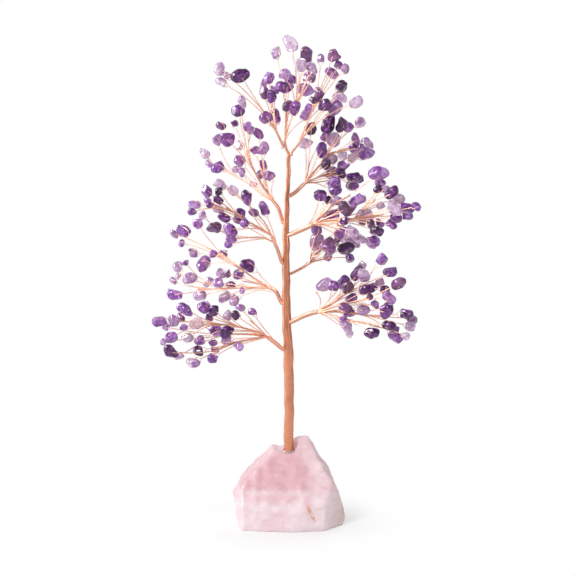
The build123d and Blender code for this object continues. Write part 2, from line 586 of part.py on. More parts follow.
def nearby(rows, middle, reach):
    """The capsules that come within a reach of a point."""
    centres = (rows[:, 0:3] + rows[:, 3:6]) / 2
    halves = np.linalg.norm(rows[:, 3:6] - rows[:, 0:3], axis=1) / 2 + rows[:, 6]
    return rows[np.linalg.norm(centres - middle, axis=1) - halves < reach]


def bent(spray, rows):
    """A spray's capsules in the poses between its bends and straight."""
    pivot, axis = root_point(spray), bend_axis(spray)
    poses = [share * BEND_UP for share in bend_shares] + [-share * BEND_DOWN for share in bend_shares]
    return [turned(rows, pivot, axis, degrees) for degrees in poses]


@dataclass
class Twig:
    """A twisted pair of wires that curves from a limb to the neck under its stone."""

    form: str
    grade: float
    start: np.ndarray
    tangent: np.ndarray
    neck: np.ndarray
    stone: np.ndarray
    rise: np.ndarray
    across: np.ndarray

    def bow(self):
        """The turn of the arc, its radius and the way from its start to its middle."""
        chord = self.neck - self.start
        level = chord - (chord @ self.tangent) * self.tangent
        half_turn = max(math.atan2(np.linalg.norm(level), chord @ self.tangent), LEAST_TURN)
        return 2 * half_turn, np.linalg.norm(chord) / (2 * math.sin(half_turn)), unit(level)

    def point(self, share):
        """The point at a share of the arc."""
        turn, radius, way = self.bow()
        return self.start + radius * (math.sin(share * turn) * self.tangent + (1 - math.cos(share * turn)) * way)

    def shape(self):
        """The capsules of the twig and of its stone with the wire round it."""
        width, length, thick = chip_size(self.form, self.grade)
        girth = thick / 2 + EYE_GAP + WIRE_DIAMETER
        side = np.cross(self.across, self.rise) * max(width / 2 - girth, 0.0)
        up = self.rise * max(length / 2 - girth, 0.0)
        centre, foot = self.stone, self.stone - self.rise * length / 2
        corners = [(centre + up + side, centre - up - side), (centre + up - side, centre - up + side)]
        corners.append((foot, centre + up))
        body = [np.hstack([a, b, [girth]]) for a, b in corners]
        arc = [self.point(share) for share in np.linspace(0, 1, TWIG_STEPS + 1)]
        return np.vstack([chain(arc, WIRE_DIAMETER), body])


def chip_size(form, grade):
    """The width, length and thickness of a chip: large chips are flatter."""
    wide, long = chip_size_shares[form]
    return CHIP_WIDTH * wide * grade, CHIP_LENGTH * long * grade, CHIP_THICKNESS * (1 + grade) / 2


def neck_drop(form, grade):
    """How far the neck of the wire lies below the hole of the chip."""
    width, length, thick = chip_size(form, grade)
    return length / 2 + NECK_LENGTH + thick * NECK_THICKNESS_SHARE


def level_with(direction, normal):
    """The part of a direction that is square to a normal, as a unit vector."""
    flat = direction - (direction @ normal) * normal
    if np.linalg.norm(flat) < LEAST_TURN:
        flat = np.cross(normal, np.roll(direction, 1))
    return unit(flat)


def twig_between(station, stone, form, grade, roll):
    """The twig from a station on a limb to a stone."""
    foot, tangent, radius = station
    drop = neck_drop(form, grade) - NECK_GRIP
    side = level_with(stone - foot, tangent)
    start = foot + side * (radius + WIRE_DIAMETER + TWIG_GAP)
    begin = unit(tangent + unit(stone - foot))
    rise = unit(stone - start)
    for _ in range(RISE_STEPS):
        chord = unit(stone - drop * rise - start)
        rise = unit(2 * (begin @ chord) * chord - begin)
    facing = level_with(np.array([0.0, 1.0, 0.0]), rise)
    angle = math.radians(roll)
    across = facing * math.cos(angle) + np.cross(rise, facing) * math.sin(angle)
    return Twig(form, grade, start, begin, stone - drop * rise, stone, rise, across)


def wood_of(limbs):
    """The capsules of a spray's limbs."""
    rows = []
    for limb in limbs:
        for (low, low_size), (high, high_size) in zip(limb, limb[1:]):
            line = np.linspace(low, high, LIMB_STEPS + 1)
            rows.append(chain(line, np.linspace(low_size / 2, high_size / 2, LIMB_STEPS + 1)[:-1]))
    return np.vstack(rows)


def stations_on(limbs):
    """Where twigs can leave the limbs: a point, the limb's direction and its radius."""
    stations = []
    for index, limb in enumerate(limbs):
        for number, ((low, low_size), (high, high_size)) in enumerate(zip(limb, limb[1:])):
            if index == 0 and number < len(limb) - 2:
                continue
            steps = max(int(np.linalg.norm(high - low) / STATION_STEP), 1)
            for step in range(1, steps + 1):
                size = low_size + (high_size - low_size) * step / steps
                stations.append((low + (high - low) * step / steps, unit(high - low), size / 2))
    return stations


def choices_for(spray, stations, seat, hoped):
    """The stations and depths that suit a stone, the plainest twigs first."""
    out, up, grade, form = seat
    depth = SPRAY_ROOT_DEPTH + SPRAY_DEPTH_SHARE * spray.reach * math.hypot(out, up)
    choices = []
    for back in np.linspace(-1, 1, DEPTH_STEPS):
        stone = place(spray, out, up, back * depth / spray.reach)
        for station in stations:
            far = float(np.linalg.norm(stone - station[0]))
            lean = math.acos(np.clip((stone - station[0]) @ station[1] / far, -1, 1))
            cost = abs(far / TWIG_LENGTH - 1) + lean * lean + abs(back - hoped) * DEPTH_COST
            if far > TWIG_LEAST_SHARE * neck_drop(form, grade):
                choices.append((cost, len(choices), station, stone))
    return sorted(choices, key=lambda choice: choice[:2])[:CHOICES]


def grow(spray, limbs, others, others_bent):
    """A twig and a stone for each seat of a spray, each where it has room."""
    stations, wood = stations_on(limbs), wood_of(limbs)
    grown, twigs = np.empty((0, wood.shape[1])), []
    for tone, wish in tone_depth_shares.items():
        for out, up, size, form in spray.stone_shares[tone]:
            spin = 2 * ((len(twigs) * GOLDEN_SHARE) % 1) - 1
            grade = min(chip_grade_shares, key=lambda share: abs(share - size))
            best = None
            for cost, _, station, stone in choices_for(spray, stations, (out, up, grade, form), wish + spin / 2):
                twig = twig_between(station, stone, form, grade, CHIP_TURN + CHIP_TURN_SPREAD * spin)
                shape = twig.shape()
                middle, reach = (twig.start + twig.stone) / 2, np.linalg.norm(twig.stone - twig.start)
                foot, rest = shape[:TWIG_FOOT_STEPS], shape[TWIG_FOOT_STEPS:]
                crowds = [(shape, grown, 0), (shape, others_bent, 0), (rest, wood, 0)]
                crowds.append((foot, wood, CLEARANCE - TWIG_GAP / 2))
                if spray.bends:
                    crowds += [(pose, others, 0) for pose in bent(spray, shape)]
                room = CLEARANCE
                for mine, theirs, spare in crowds:
                    close = nearby(theirs, middle, reach)
                    if len(close):
                        room = min(room, gaps(mine, close) + spare)
                score = cost + CROWD_COST * (1 - room / CLEARANCE)
                if best is None or score < best[0]:
                    best = (score, room, twig, shape)
                if room >= CLEARANCE and cost > best[0]:
                    break
            twigs.append((tone, best[2], best[1]))
            grown = np.vstack([grown, best[3]])
    return twigs, np.vstack([wood, grown])


def base_stone():
    """A broken lump with a sawn bottom, and a drilled seat for the trunk."""
    middle = Vector(0, 0, BASE_MIDDLE_SHARE * BASE_HEIGHT)
    with BuildPart() as lump:
        with BuildSketch(Plane.XY):
            Polygon(*outline(base_plan_shares, BASE_WIDTH, BASE_DEPTH), align=None)
        extrude(amount=BASE_HEIGHT)
        with BuildSketch(Plane.XZ):
            Polygon(*outline(base_front_shares, BASE_WIDTH, BASE_HEIGHT), align=None)
        extrude(amount=BASE_DEPTH, both=True, mode=Mode.INTERSECT)
        with BuildSketch(Plane.YZ):
            Polygon(*outline(base_side_shares, BASE_DEPTH, BASE_HEIGHT), align=None)
        extrude(amount=BASE_WIDTH, both=True, mode=Mode.INTERSECT)
        for way, share in base_facet_shares:
            facet = Vector(*way).normalized()
            split(bisect_by=Plane(origin=middle + facet * share * BASE_HEIGHT, z_dir=facet), keep=Keep.BOTTOM)
        with Locations(Pos(0, 0, SEAT_HEIGHT)):
            Cylinder(SEAT_RADIUS, BASE_HEIGHT, align=(Align.CENTER, Align.CENTER, Align.MIN), mode=Mode.SUBTRACT)
        with Locations(Pos(0, 0, SEAT_HEIGHT)):
            Hole(TRUNK_FOOT_DIAMETER / 2 + GLUE_WALL, depth=BORE_DEPTH)
    return lump.part


def base_glue():
    """The glue: a sleeve in the bore with a bead round the foot, on the stone."""
    inner = TRUNK_FOOT_DIAMETER / 2 + FIT_GAP
    outer = TRUNK_FOOT_DIAMETER / 2 + GLUE_WALL - FIT_GAP
    with BuildPart() as glue:
        with BuildSketch(Plane.XZ):
            with BuildLine():
                Polyline(
                    (inner, SEAT_HEIGHT + GLUE_BEAD_HEIGHT),
                    (inner, SEAT_HEIGHT - BORE_DEPTH),
                    (outer, SEAT_HEIGHT - BORE_DEPTH),
                    (outer, SEAT_HEIGHT),
                    (GLUE_BEAD_RADIUS, SEAT_HEIGHT),
                )
                TangentArc(
                    (GLUE_BEAD_RADIUS, SEAT_HEIGHT),
                    (inner, SEAT_HEIGHT + GLUE_BEAD_HEIGHT),
                    tangent=(0, 1),
                )
            make_face()
        revolve(axis=Axis.Z)
    return glue.part


def trunk_bundle():
    """The trunk: the whole bundle of wires, with a cup where each branch starts."""
    heights = [SEAT_HEIGHT - BORE_DEPTH, FOOT_TOP_HEIGHT, BELLY_HEIGHT, FORK_HEIGHT]
    for spray in sprays:
        if spray.bends:
            heights += [spray.height - BRANCHING_LENGTH, spray.height + BRANCHING_LENGTH]
    with BuildPart() as trunk:
        for height in sorted(heights):
            x, y, z = trunk_centre(height)
            with BuildSketch(Plane(origin=(x, y, z))):
                Circle(trunk_diameter(height) / 2)
        loft(ruled=True)
        for spray in sprays:
            if spray.bends:
                with Locations(Pos(*root_point(spray))):
                    Sphere(ball_radius(spray) + CUP_GAP, mode=Mode.SUBTRACT)
    return trunk.part


def limb_run(low, low_size, high, high_size):
    """A tapering run of a limb with a rounded end."""
    way = high - low
    plane = Plane(origin=Vector(*low), z_dir=Vector(*way))
    with BuildPart() as run:
        with BuildSketch(plane):
            Circle(low_size / 2)
        with BuildSketch(plane.offset(float(np.linalg.norm(way)))):
            Circle(high_size / 2)
        loft()
        with Locations(Pos(*high)):
            Sphere(high_size / 2)
    return run.part


def stem_solid(spray, limbs):
    """A branch's bundle with its limbs, and the ball or the flat that it starts from."""
    runs = [
        limb_run(low, low_size, high, high_size)
        for limb in limbs
        for (low, low_size), (high, high_size) in zip(limb, limb[1:])
    ]
    root, root_size = limbs[0][0]
    with BuildPart() as stem:
        with Locations(Pos(*root)):
            Sphere(ball_radius(spray) if spray.bends else root_size / 2)
        add(runs)
        if not spray.bends and spray.rise == 0:
            split(bisect_by=Plane.XY.offset(FORK_HEIGHT), keep=Keep.TOP)
    return stem.part


def chip_solid(form, grade):
    """A tumbled chip with its drilled hole."""
    width, length, thick = chip_size(form, grade)
    corner = CHIP_CORNER * grade
    with BuildPart() as chip:
        with BuildSketch(Plane.XZ) as face:
            with BuildLine():
                Polyline(*outline(chip_outline_shares[form], width, length), close=True)
            make_face()
            fillet(face.vertices(), corner)
        extrude(amount=thick / 2, both=True)
        ends = chip.faces().sort_by(Axis.Y)
        fillet(ends[0].edges() + ends[-1].edges(), min(CHIP_RIM_SHARE * thick, RIM_LIMIT_SHARE * corner))
        with Locations(Plane.XZ):
            Hole(HOLE_DIAMETER / 2)
    return chip.part


def eye_solid(form, grade):
    """The wire's eye: through the hole, down both faces and together at the neck."""
    width, length, thick = chip_size(form, grade)
    leg = thick / 2 + EYE_GAP + WIRE_DIAMETER / 2
    knee = -length / 2 + KNEE_SHARE * thick
    corners = [(0, -neck_drop(form, grade)), (leg, knee), (leg, 0), (-leg, 0), (-leg, knee)]
    with BuildPart() as eye:
        with BuildLine(Plane.YZ) as loop:
            FilletPolyline(*corners, radius=EYE_BEND, close=True)
        with BuildSketch(Plane(origin=loop.line @ 0, z_dir=loop.line % 0)):
            Circle(WIRE_DIAMETER / 2)
        sweep()
    return eye.part


def seat_of(twig):
    """Where a chip and its eye lie: the hole along the plane's Y, the neck below."""
    side = np.cross(twig.across, twig.rise)
    return Plane(origin=Vector(*twig.stone), x_dir=Vector(*side), z_dir=Vector(*twig.rise)).location


def twig_solid(twig, eye):
    """A twisted pair of wires along its arc, joined with its eye: its seam is turned until they fuse."""
    turn, radius, way = twig.bow()
    hub = Axis(Vector(*(twig.start + radius * way)), Vector(*np.cross(twig.tangent, way)))
    foot = Plane(origin=Vector(*twig.start), z_dir=Vector(*twig.tangent))
    ring = eye.moved(seat_of(twig))
    grip = 2 * NECK_GRIP * math.pi * WIRE_DIAMETER**2
    for seam in range(SEAM_TRIES):
        with BuildPart() as pair:
            with BuildSketch(foot.rotated((0, 0, seam * SEAM_TURN))):
                Circle(WIRE_DIAMETER)
            revolve(axis=hub, revolution_arc=math.degrees(turn))
            apart = pair.part.volume + ring.volume
            add(ring)
        if len(pair.part.solids()) == 1 and 0 < apart - pair.part.volume < grip:
            break
    return pair.part


def write_node(name, solids):
    """One node, as a group of separate solids."""
    with BuildPart() as node:
        add(solids)
    node.part.label = name
    export_step(node.part, f"parts/{name}.step", write_pcurves=False)


stone, glue, trunk = base_stone(), base_glue(), trunk_bundle()
write_node("base_stone", stone)
write_node("base_glue", glue)
write_node("trunk_bundle", trunk)

chips, eyes = {}, {}
trunk_line = [trunk_centre(height) for height in np.linspace(SEAT_HEIGHT, FORK_HEIGHT, TRUNK_STEPS)]
trunk_radii = [trunk_diameter(point[2]) / 2 for point in trunk_line[:-1]]
others = chain(trunk_line, trunk_radii)
others_bent = others
for spray in sprays:
    limbs = limbs_of(spray)
    twigs, rows = grow(spray, limbs, others, others_bent)
    others = np.vstack([others, rows])
    others_bent = np.vstack([others_bent, rows] + (bent(spray, rows) if spray.bends else []))
    write_node(f"{spray.name}_stem", stem_solid(spray, limbs))
    twig_solids, tones = [], {tone: [] for tone in spray.stone_shares}
    for tone, twig, room in twigs:
        kind = (twig.form, twig.grade)
        if kind not in chips:
            chips[kind], eyes[kind] = chip_solid(*kind), eye_solid(*kind)
        twig_solids.append(twig_solid(twig, eyes[kind]))
        tones[tone].append(chips[kind].moved(seat_of(twig)))
    write_node(f"{spray.name}_twigs", twig_solids)
    for tone, solids in tones.items():
        write_node(f"{spray.name}_{tone}_stones", solids)
    if spray.bends:
        root, axis = root_point(spray), bend_axis(spray)
        print(spray.name, "root", [round(float(v), 3) for v in root], "axis", [round(float(v), 5) for v in axis])
    print(spray.name, "stones", len(twigs), "least room", round(min(room for _, _, room in twigs), 2))
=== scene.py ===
import json
import math
from collections import namedtuple

import bmesh
import bpy
import numpy as np
from bpy.props import FloatProperty, FloatVectorProperty, IntProperty, PointerProperty
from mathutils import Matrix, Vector

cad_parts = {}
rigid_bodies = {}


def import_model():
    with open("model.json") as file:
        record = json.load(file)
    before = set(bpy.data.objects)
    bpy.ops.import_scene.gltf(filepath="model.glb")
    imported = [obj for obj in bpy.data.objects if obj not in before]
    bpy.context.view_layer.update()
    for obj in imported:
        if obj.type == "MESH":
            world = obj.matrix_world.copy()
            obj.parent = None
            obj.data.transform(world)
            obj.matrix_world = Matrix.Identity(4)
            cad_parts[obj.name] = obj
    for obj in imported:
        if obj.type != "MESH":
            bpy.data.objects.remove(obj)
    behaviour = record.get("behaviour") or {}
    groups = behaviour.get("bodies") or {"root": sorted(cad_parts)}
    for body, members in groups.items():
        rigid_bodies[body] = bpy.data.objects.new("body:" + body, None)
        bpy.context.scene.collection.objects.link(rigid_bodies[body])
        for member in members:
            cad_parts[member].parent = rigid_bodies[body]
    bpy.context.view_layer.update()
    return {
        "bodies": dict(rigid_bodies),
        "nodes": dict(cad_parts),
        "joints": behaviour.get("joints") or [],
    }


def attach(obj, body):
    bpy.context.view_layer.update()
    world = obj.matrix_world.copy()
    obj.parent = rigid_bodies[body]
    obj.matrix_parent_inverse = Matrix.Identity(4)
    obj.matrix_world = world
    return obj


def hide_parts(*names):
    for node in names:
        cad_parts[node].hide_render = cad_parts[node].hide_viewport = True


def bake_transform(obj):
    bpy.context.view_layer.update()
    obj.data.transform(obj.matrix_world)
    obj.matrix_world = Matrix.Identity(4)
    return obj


bl_info = {
    "name": "Gemstone Tree",
    "version": (1, 0, 0),
    "blender": (4, 5, 0),
    "location": "View3D > Sidebar > Gem Tree",
    "description": "Twisted copper wire tree with amethyst chips on a rose quartz base",
    "category": "Add Mesh",
}

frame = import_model()

# Metres to a millimetre: places and sizes here are in millimetres
MM = 0.001

# Corners of the solids that lie this near to each other are one, on a grid of this many cells a side
JOIN = 0.001
CELLS = 1 << 20

# Wire, chips, trunk and the sprays' starts, as the solids have them
WIRE = 0.32
CHIP_LENGTH = 6.3
CHIP_THICKNESS = 3.9
NECK_LENGTH = 1.0
NECK_GRIP = 0.2
NECK_THICKNESS_SHARE = 0.2
KNEE_SHARE = 0.12
EYE_GAP = 0.1
HOLE_DIAMETER = 0.9
chip_long_shares = [1.1, 0.86, 0.9, 0.95]
SEAT_HEIGHT = 41.0
BORE_DEPTH = 14.0
FOOT_TOP_HEIGHT = 47.0
BELLY_HEIGHT = 80.0
FORK_HEIGHT = 213.0
BRANCHING_LENGTH = 4.0
TRUNK_FOOT_DIAMETER = 5.5
TRUNK_BELLY_DIAMETER = 5.7
TRUNK_SWAY = 1.4
trunk_sway_shares = [
    (0.0, 0.0), (0.16, 0.35), (0.31, 0.0), (0.46, -0.93),
    (0.62, -1.0), (0.76, -1.0), (0.88, -0.36), (1.0, 0.2),
]
BUNDLE_FILL_SHARE = 0.8
FRONT_LIFT_SHARE = 0.1
LEFT = -0.3
RIGHT = 0.85
LEADER_GAP = 0.2
BRANCH_INSET = 1.6
FORK_INSET = 2.0

# How closely the solids' meshes are read
NEAR = 0.02
LEAST_AREA = 1e-4
SAME_WAY = 0.999
SAME_PLANE = 0.99995
WAY_CELLS = 14
DISC_SHARES = (0.75, 1.05)
DISC_SPREAD = 1.25
SETTLING = 6
SLANT_COST = 100

# Strands as they are drawn: the corners round each, how many the trunk shows, and a twig's half thickness
STRAND_CORNERS = 6
TRUNK_STRANDS = 22
TWIG_STRAND_RADIUS = WIRE * 0.58

# The glue's section: out from the trunk's middle, and up from the stone
glue_section = [
    (2.75, -6.0), (3.15, -6.0), (3.2, -0.1), (4.35, 0.0), (3.9, 1.0), (2.7, 1.6), (2.75, -6.0),
]

# The ball that chips are made from: how far round from its poles the hole, its dimple and its rim reach
POLE = 0.999
DIMPLE = 0.985
RIM = 0.955

# Each tone of amethyst: its dark, usual and milky colour, how clear it is, and how much of it is veiled
amethysts = {
    "deep": ((0.03, 0.002, 0.04), (0.11, 0.01, 0.15), (0.42, 0.14, 0.54), 0.15, 0.4),
    "mid": ((0.07, 0.008, 0.13), (0.28, 0.065, 0.42), (0.66, 0.38, 0.76), 0.25, 0.55),
    "pale": ((0.36, 0.15, 0.44), (0.68, 0.46, 0.73), (0.92, 0.8, 0.92), 0.45, 0.6),
}

# Each lamp, in metres and watts: where, how wide and tall, its power, and whether it also lights
# what isn't shiny
lamps = {
    "key": ((-0.55, -0.75, 0.75), 0.22, 0.22, 6.5, True),
    "side": ((-0.95, 0.1, 0.23), 0.2, 0.44, 2.2, True),
    "glint": ((-0.85, 0.08, 0.68), 0.5, 0.5, 15.0, False),
    "fill": ((0.9, -0.7, 0.35), 0.4, 0.4, 2.2, True),
    "rim": ((0.3, 0.8, 0.7), 0.5, 0.5, 2.6, True),
}
LAMP_AIM = (0.0, 0.0, 0.13)

# The floor and the camera, in metres and degrees
FLOOR_HALF = 8.0
WHITE = (1.0, 1.0, 1.0, 1.0)
CAMERA_TARGET = (-0.0003, 0.0, 0.1368)
CAMERA_DISTANCE = 0.781
CAMERA_TILT = 6.0

Spray = namedtuple("Spray", "side start height reach lean stones rise limbs")

# Side is -1 to the left and 1 to the right, start and height are where a spray leaves the trunk, lean is
# how many degrees it is swung to the front, and rise how far up the leader it starts. Each limb: its
# thickness at its start and its end as shares of the root's, the number of the spray's point where it
# starts, and its own points: out, up and back as shares of the reach.
sprays = {
    "lower_left_branch": Spray(-1, LEFT, 101.5, 74.0, 24.0, 29, 0.0, [
        (1.0, 0.95, None, [(0.1, 0.05), (0.165, 0.1)]),
        (0.6, 0.3, 1, [(0.255, 0.085, -0.02), (0.41, 0.055, -0.05), (0.57, -0.01, -0.06)]),
        (0.6, 0.3, 1, [(0.26, 0.115, 0.03), (0.4, 0.12, 0.07), (0.56, 0.11, 0.09)]),
        (0.6, 0.3, 1, [(0.24, 0.14, -0.02), (0.4, 0.185, -0.05), (0.6, 0.215, -0.04)]),
        (0.45, 0.3, 1, [(0.23, 0.17, 0.04), (0.3, 0.23, 0.07)]),
    ]),
    "second_left_branch": Spray(-1, LEFT, 128.0, 71.7, -24.0, 25, 0.0, [
        (1.0, 0.95, None, [(0.1, 0.1), (0.15, 0.125)]),
        (0.7, 0.25, 1, [(0.35, 0.125, 0.03), (0.55, 0.115, 0.05), (0.77, 0.11, 0.04)]),
        (0.65, 0.25, 1, [(0.3, 0.22, -0.02), (0.42, 0.31, -0.04), (0.56, 0.41, -0.03)]),
        (0.4, 0.3, 1, [(0.26, 0.16, -0.05), (0.38, 0.18, -0.1)]),
    ]),
    "third_left_branch": Spray(-1, LEFT, 151.5, 69.4, 27.0, 21, 0.0, [
        (1.0, 0.9, None, [(0.084, 0.1), (0.11, 0.16), (0.135, 0.22)]),
        (0.65, 0.3, 2, [(0.25, 0.29, -0.02), (0.36, 0.35, -0.04), (0.5, 0.44, -0.04)]),
        (0.45, 0.3, 2, [(0.18, 0.31, 0.04), (0.27, 0.43, 0.08)]),
        (0.5, 0.3, 1, [(0.2, 0.2, 0.03), (0.3, 0.205, 0.06), (0.42, 0.19, 0.07)]),
    ]),
    "upper_left_branch": Spray(-1, LEFT, 174.4, 55.8, -26.0, 22, 0.0, [
        (1.0, 0.9, None, [(0.1, 0.15), (0.15, 0.22), (0.2, 0.29)]),
        (0.75, 0.3, 2, [(0.3, 0.45, -0.02), (0.36, 0.57, -0.04), (0.43, 0.75, -0.04)]),
        (0.5, 0.3, 1, [(0.26, 0.29, 0.03), (0.4, 0.41, 0.08), (0.6, 0.53, 0.12)]),
        (0.4, 0.3, 2, [(0.23, 0.42, 0.04), (0.25, 0.54, 0.08)]),
    ]),
    "lower_right_branch": Spray(1, RIGHT, 117.5, 71.2, 22.0, 34, 0.0, [
        (1.0, 0.95, None, [(0.1, 0.04), (0.18, 0.07), (0.23, 0.08)]),
        (0.6, 0.3, 2, [(0.34, 0.15, 0.02), (0.46, 0.235, 0.05), (0.64, 0.325, 0.06)]),
        (0.55, 0.3, 2, [(0.4, 0.08, 0.03), (0.56, 0.06, 0.06), (0.72, 0.04, 0.08)]),
        (0.5, 0.3, 2, [(0.38, 0.04, -0.03), (0.55, 0.0, -0.06), (0.7, -0.03, -0.08)]),
        (0.5, 0.3, 2, [(0.36, 0.125, -0.04), (0.5, 0.16, -0.07), (0.64, 0.19, -0.09)]),
    ]),
    "second_right_branch": Spray(1, RIGHT, 144.8, 56.9, -30.0, 13, 0.0, [
        (1.0, 0.95, None, [(0.08, 0.04), (0.15, 0.08), (0.19, 0.12)]),
        (0.6, 0.4, 2, [(0.21, 0.2, 0.03), (0.22, 0.29, 0.05)]),
        (0.6, 0.4, 2, [(0.27, 0.21), (0.36, 0.3, 0.02), (0.43, 0.35, 0.04)]),
        (0.6, 0.4, 2, [(0.29, 0.14, -0.04), (0.4, 0.17, -0.08)]),
    ]),
    "third_right_branch": Spray(1, RIGHT, 167.6, 68.3, 24.0, 34, 0.0, [
        (1.0, 0.95, None, [(0.08, 0.03), (0.15, 0.06), (0.2, 0.09)]),
        (0.6, 0.3, 2, [(0.28, 0.17, 0.03), (0.38, 0.255, 0.06), (0.5, 0.32, 0.08)]),
        (0.7, 0.25, 2, [(0.36, 0.115, -0.01), (0.52, 0.12, -0.02), (0.76, 0.15, -0.02)]),
        (0.4, 0.3, 2, [(0.3, 0.07, 0.05), (0.4, 0.04, 0.08)]),
        (0.4, 0.3, 7, [(0.6, 0.2, 0.02), (0.7, 0.28, 0.05)]),
    ]),
    "upper_right_branch": Spray(1, RIGHT, 189.8, 56.9, -26.0, 25, 0.0, [
        (1.0, 0.95, None, [(0.06, 0.04), (0.1, 0.08), (0.15, 0.13)]),
        (0.75, 0.3, 2, [(0.21, 0.21), (0.3, 0.32), (0.39, 0.48, 0.02)]),
        (0.45, 0.3, 4, [(0.38, 0.42, -0.04), (0.5, 0.465, -0.06), (0.6, 0.5, -0.08)]),
        (0.5, 0.3, 2, [(0.25, 0.18, 0.04), (0.37, 0.23, 0.08), (0.5, 0.27, 0.1)]),
        (0.4, 0.3, 2, [(0.28, 0.14, -0.05), (0.4, 0.16, -0.1)]),
        (0.4, 0.3, 2, [(0.18, 0.25, 0.05), (0.19, 0.38, 0.08)]),
    ]),
    "top_middle_spray": Spray(1, LEFT, FORK_HEIGHT, 66.0, 0.0, 14, 0.0, [
        (1.0, 0.9, None, [(-0.015, 0.05), (-0.03, 0.12)]),
        (0.8, 0.4, 1, [(-0.025, 0.22, 0.02), (-0.015, 0.33, 0.03), (-0.02, 0.46, 0.03)]),
        (0.6, 0.4, 1, [(0.0, 0.22, -0.03), (0.04, 0.33, -0.05), (0.08, 0.45, -0.05)]),
    ]),
    "top_left_spray": Spray(-1, LEFT, FORK_HEIGHT, 45.5, 22.0, 11, 5.5, [
        (1.0, 0.9, None, [(0.105, 0.2), (0.14, 0.27)]),
        (0.8, 0.4, 1, [(0.2, 0.36, -0.02), (0.29, 0.5, -0.04), (0.36, 0.6, -0.05)]),
        (0.6, 0.4, 1, [(0.165, 0.39, 0.05), (0.18, 0.5, 0.08)]),
    ]),
    "top_right_spray": Spray(1, LEFT, FORK_HEIGHT, 51.2, 22.0, 13, 1.3, [
        (1.0, 0.9, None, [(0.085, 0.08), (0.12, 0.13)]),
        (0.75, 0.4, 1, [(0.17, 0.25, 0.02), (0.23, 0.4, 0.04), (0.3, 0.56, 0.05)]),
        (0.6, 0.4, 1, [(0.2, 0.22, -0.04), (0.3, 0.33, -0.07)]),
    ]),
}


def unit(vector):
    """The direction of a vector, or of each row."""
    return vector / np.linalg.norm(vector, axis=-1, keepdims=True)


def crosswise(way):
    """Some direction square to a way."""
    return unit(np.cross(way, [0.0, 0.0, 1.0] if abs(way[2]) < 0.9 else [1.0, 0.0, 0.0]))


def waves(points, size, seed, count=7):
    """A smooth wavering between about -1 and 1 over points, with bumps of about a size."""
    random = np.random.default_rng(seed)
    ways = unit(random.normal(size=(count, 3))) * random.uniform(0.7, 1.5, (count, 1)) * 2 * math.pi / size
    return np.sin(points @ ways.T + random.uniform(0, 2 * math.pi, count)).sum(axis=1) / math.sqrt(2 * count)


def ring(count):
    """Evenly spaced angles round a circle."""
    return np.linspace(0, 2 * math.pi, count, endpoint=False)


def steps_of(path):
    """The lengths between the points of a path."""
    return np.linalg.norm(np.diff(path, axis=0), axis=1)


def run_of(path):
    """How far along a path each of its points lies."""
    return np.concatenate([[0], np.cumsum(steps_of(path))])


def spaced(path, least):
    """A path without the points that nearly meet the one before."""
    return path[np.concatenate([[True], steps_of(path) > least])]


def bundle_diameter(name):
    """The thickness of a spray's bundle: two wires to each stone."""
    return WIRE * math.sqrt(2 * sprays[name].stones / BUNDLE_FILL_SHARE)


def trunk_diameter(height):
    """The trunk's thickness, which drops where each branch takes its wires out."""
    left = total = sum(spray.stones for spray in sprays.values())
    heights, diameters = [FOOT_TOP_HEIGHT, BELLY_HEIGHT], [TRUNK_FOOT_DIAMETER, TRUNK_BELLY_DIAMETER]
    branches = [spray for spray in sprays.values() if spray.height < FORK_HEIGHT]
    for spray in sorted(branches, key=lambda spray: spray.height):
        for end, taken in ((-BRANCHING_LENGTH, 0), (BRANCHING_LENGTH, spray.stones)):
            left -= taken
            heights.append(spray.height + end)
            diameters.append(TRUNK_BELLY_DIAMETER * math.sqrt(left / total))
    return np.interp(height, heights, diameters)


def trunk_centre(height):
    """The middle of the trunk at a height."""
    rise = (height - FOOT_TOP_HEIGHT) / (FORK_HEIGHT - FOOT_TOP_HEIGHT)
    return np.array([np.interp(rise, *zip(*trunk_sway_shares)) * TRUNK_SWAY, 0.0, height])


def place(name, out, up, back=0.0):
    """The point at these shares of a spray's reach, with the spray swung by its lean."""
    spray = sprays[name]
    away = out * spray.reach
    y = back * spray.reach - away * math.tan(math.radians(spray.lean))
    z = spray.height + up * spray.reach - y * FRONT_LIFT_SHARE
    return np.array([spray.start + spray.side * away, y, z])


def heading(name):
    """The way a spray leaves the trunk, seen from above."""
    lean = math.radians(sprays[name].lean)
    return np.array([sprays[name].side * math.cos(lean), -math.sin(lean), 0.0])


def body_of(name):
    """The moving body that a spray belongs to."""
    return name if name in frame["bodies"] else "trunk"


def root_of(name):
    """Where a spray's bundle starts: at its hinge, on the fork, or beside the leader."""
    for joint in frame["joints"]:
        if joint["child"] == name:
            return np.array(joint["pos_m"]) / MM
    low = trunk_centre(FORK_HEIGHT)
    if sprays[name].rise == 0:
        return low
    high = place("top_middle_spray", *sprays["top_middle_spray"].limbs[0][-1][-1])
    beside = low + (high - low) * sprays[name].rise / (high[2] - low[2])
    spread = (bundle_diameter("top_middle_spray") + bundle_diameter(name)) / 2 + LEADER_GAP
    return beside + spread * heading(name)


def limbs_of(name):
    """A spray's limbs: for each, its points and its thickness at them, from inside its parent."""
    root = root_of(name)
    on_trunk = sprays[name].height < FORK_HEIGHT
    inward = -heading(name) * BRANCH_INSET if on_trunk else np.array([0.0, 0.0, -FORK_INSET])
    limbs, steps = [], []
    for first, last, start, shares in sprays[name].limbs:
        before, corner = (root + inward, root) if start is None else steps[start]
        points = [corner] + [place(name, *share) for share in shares]
        steps += zip(points, points[1:])
        if start is None:
            points.insert(0, before)
        run = run_of(points)
        sizes = list(bundle_diameter(name) * (first + (last - first) * (run / run[-1])))
        if start is not None:
            points.insert(0, corner + (before - corner) * 0.5)
            sizes.insert(0, sizes[0] * 0.9)
        limbs.append((np.array(points), np.array(sizes)))
    return limbs


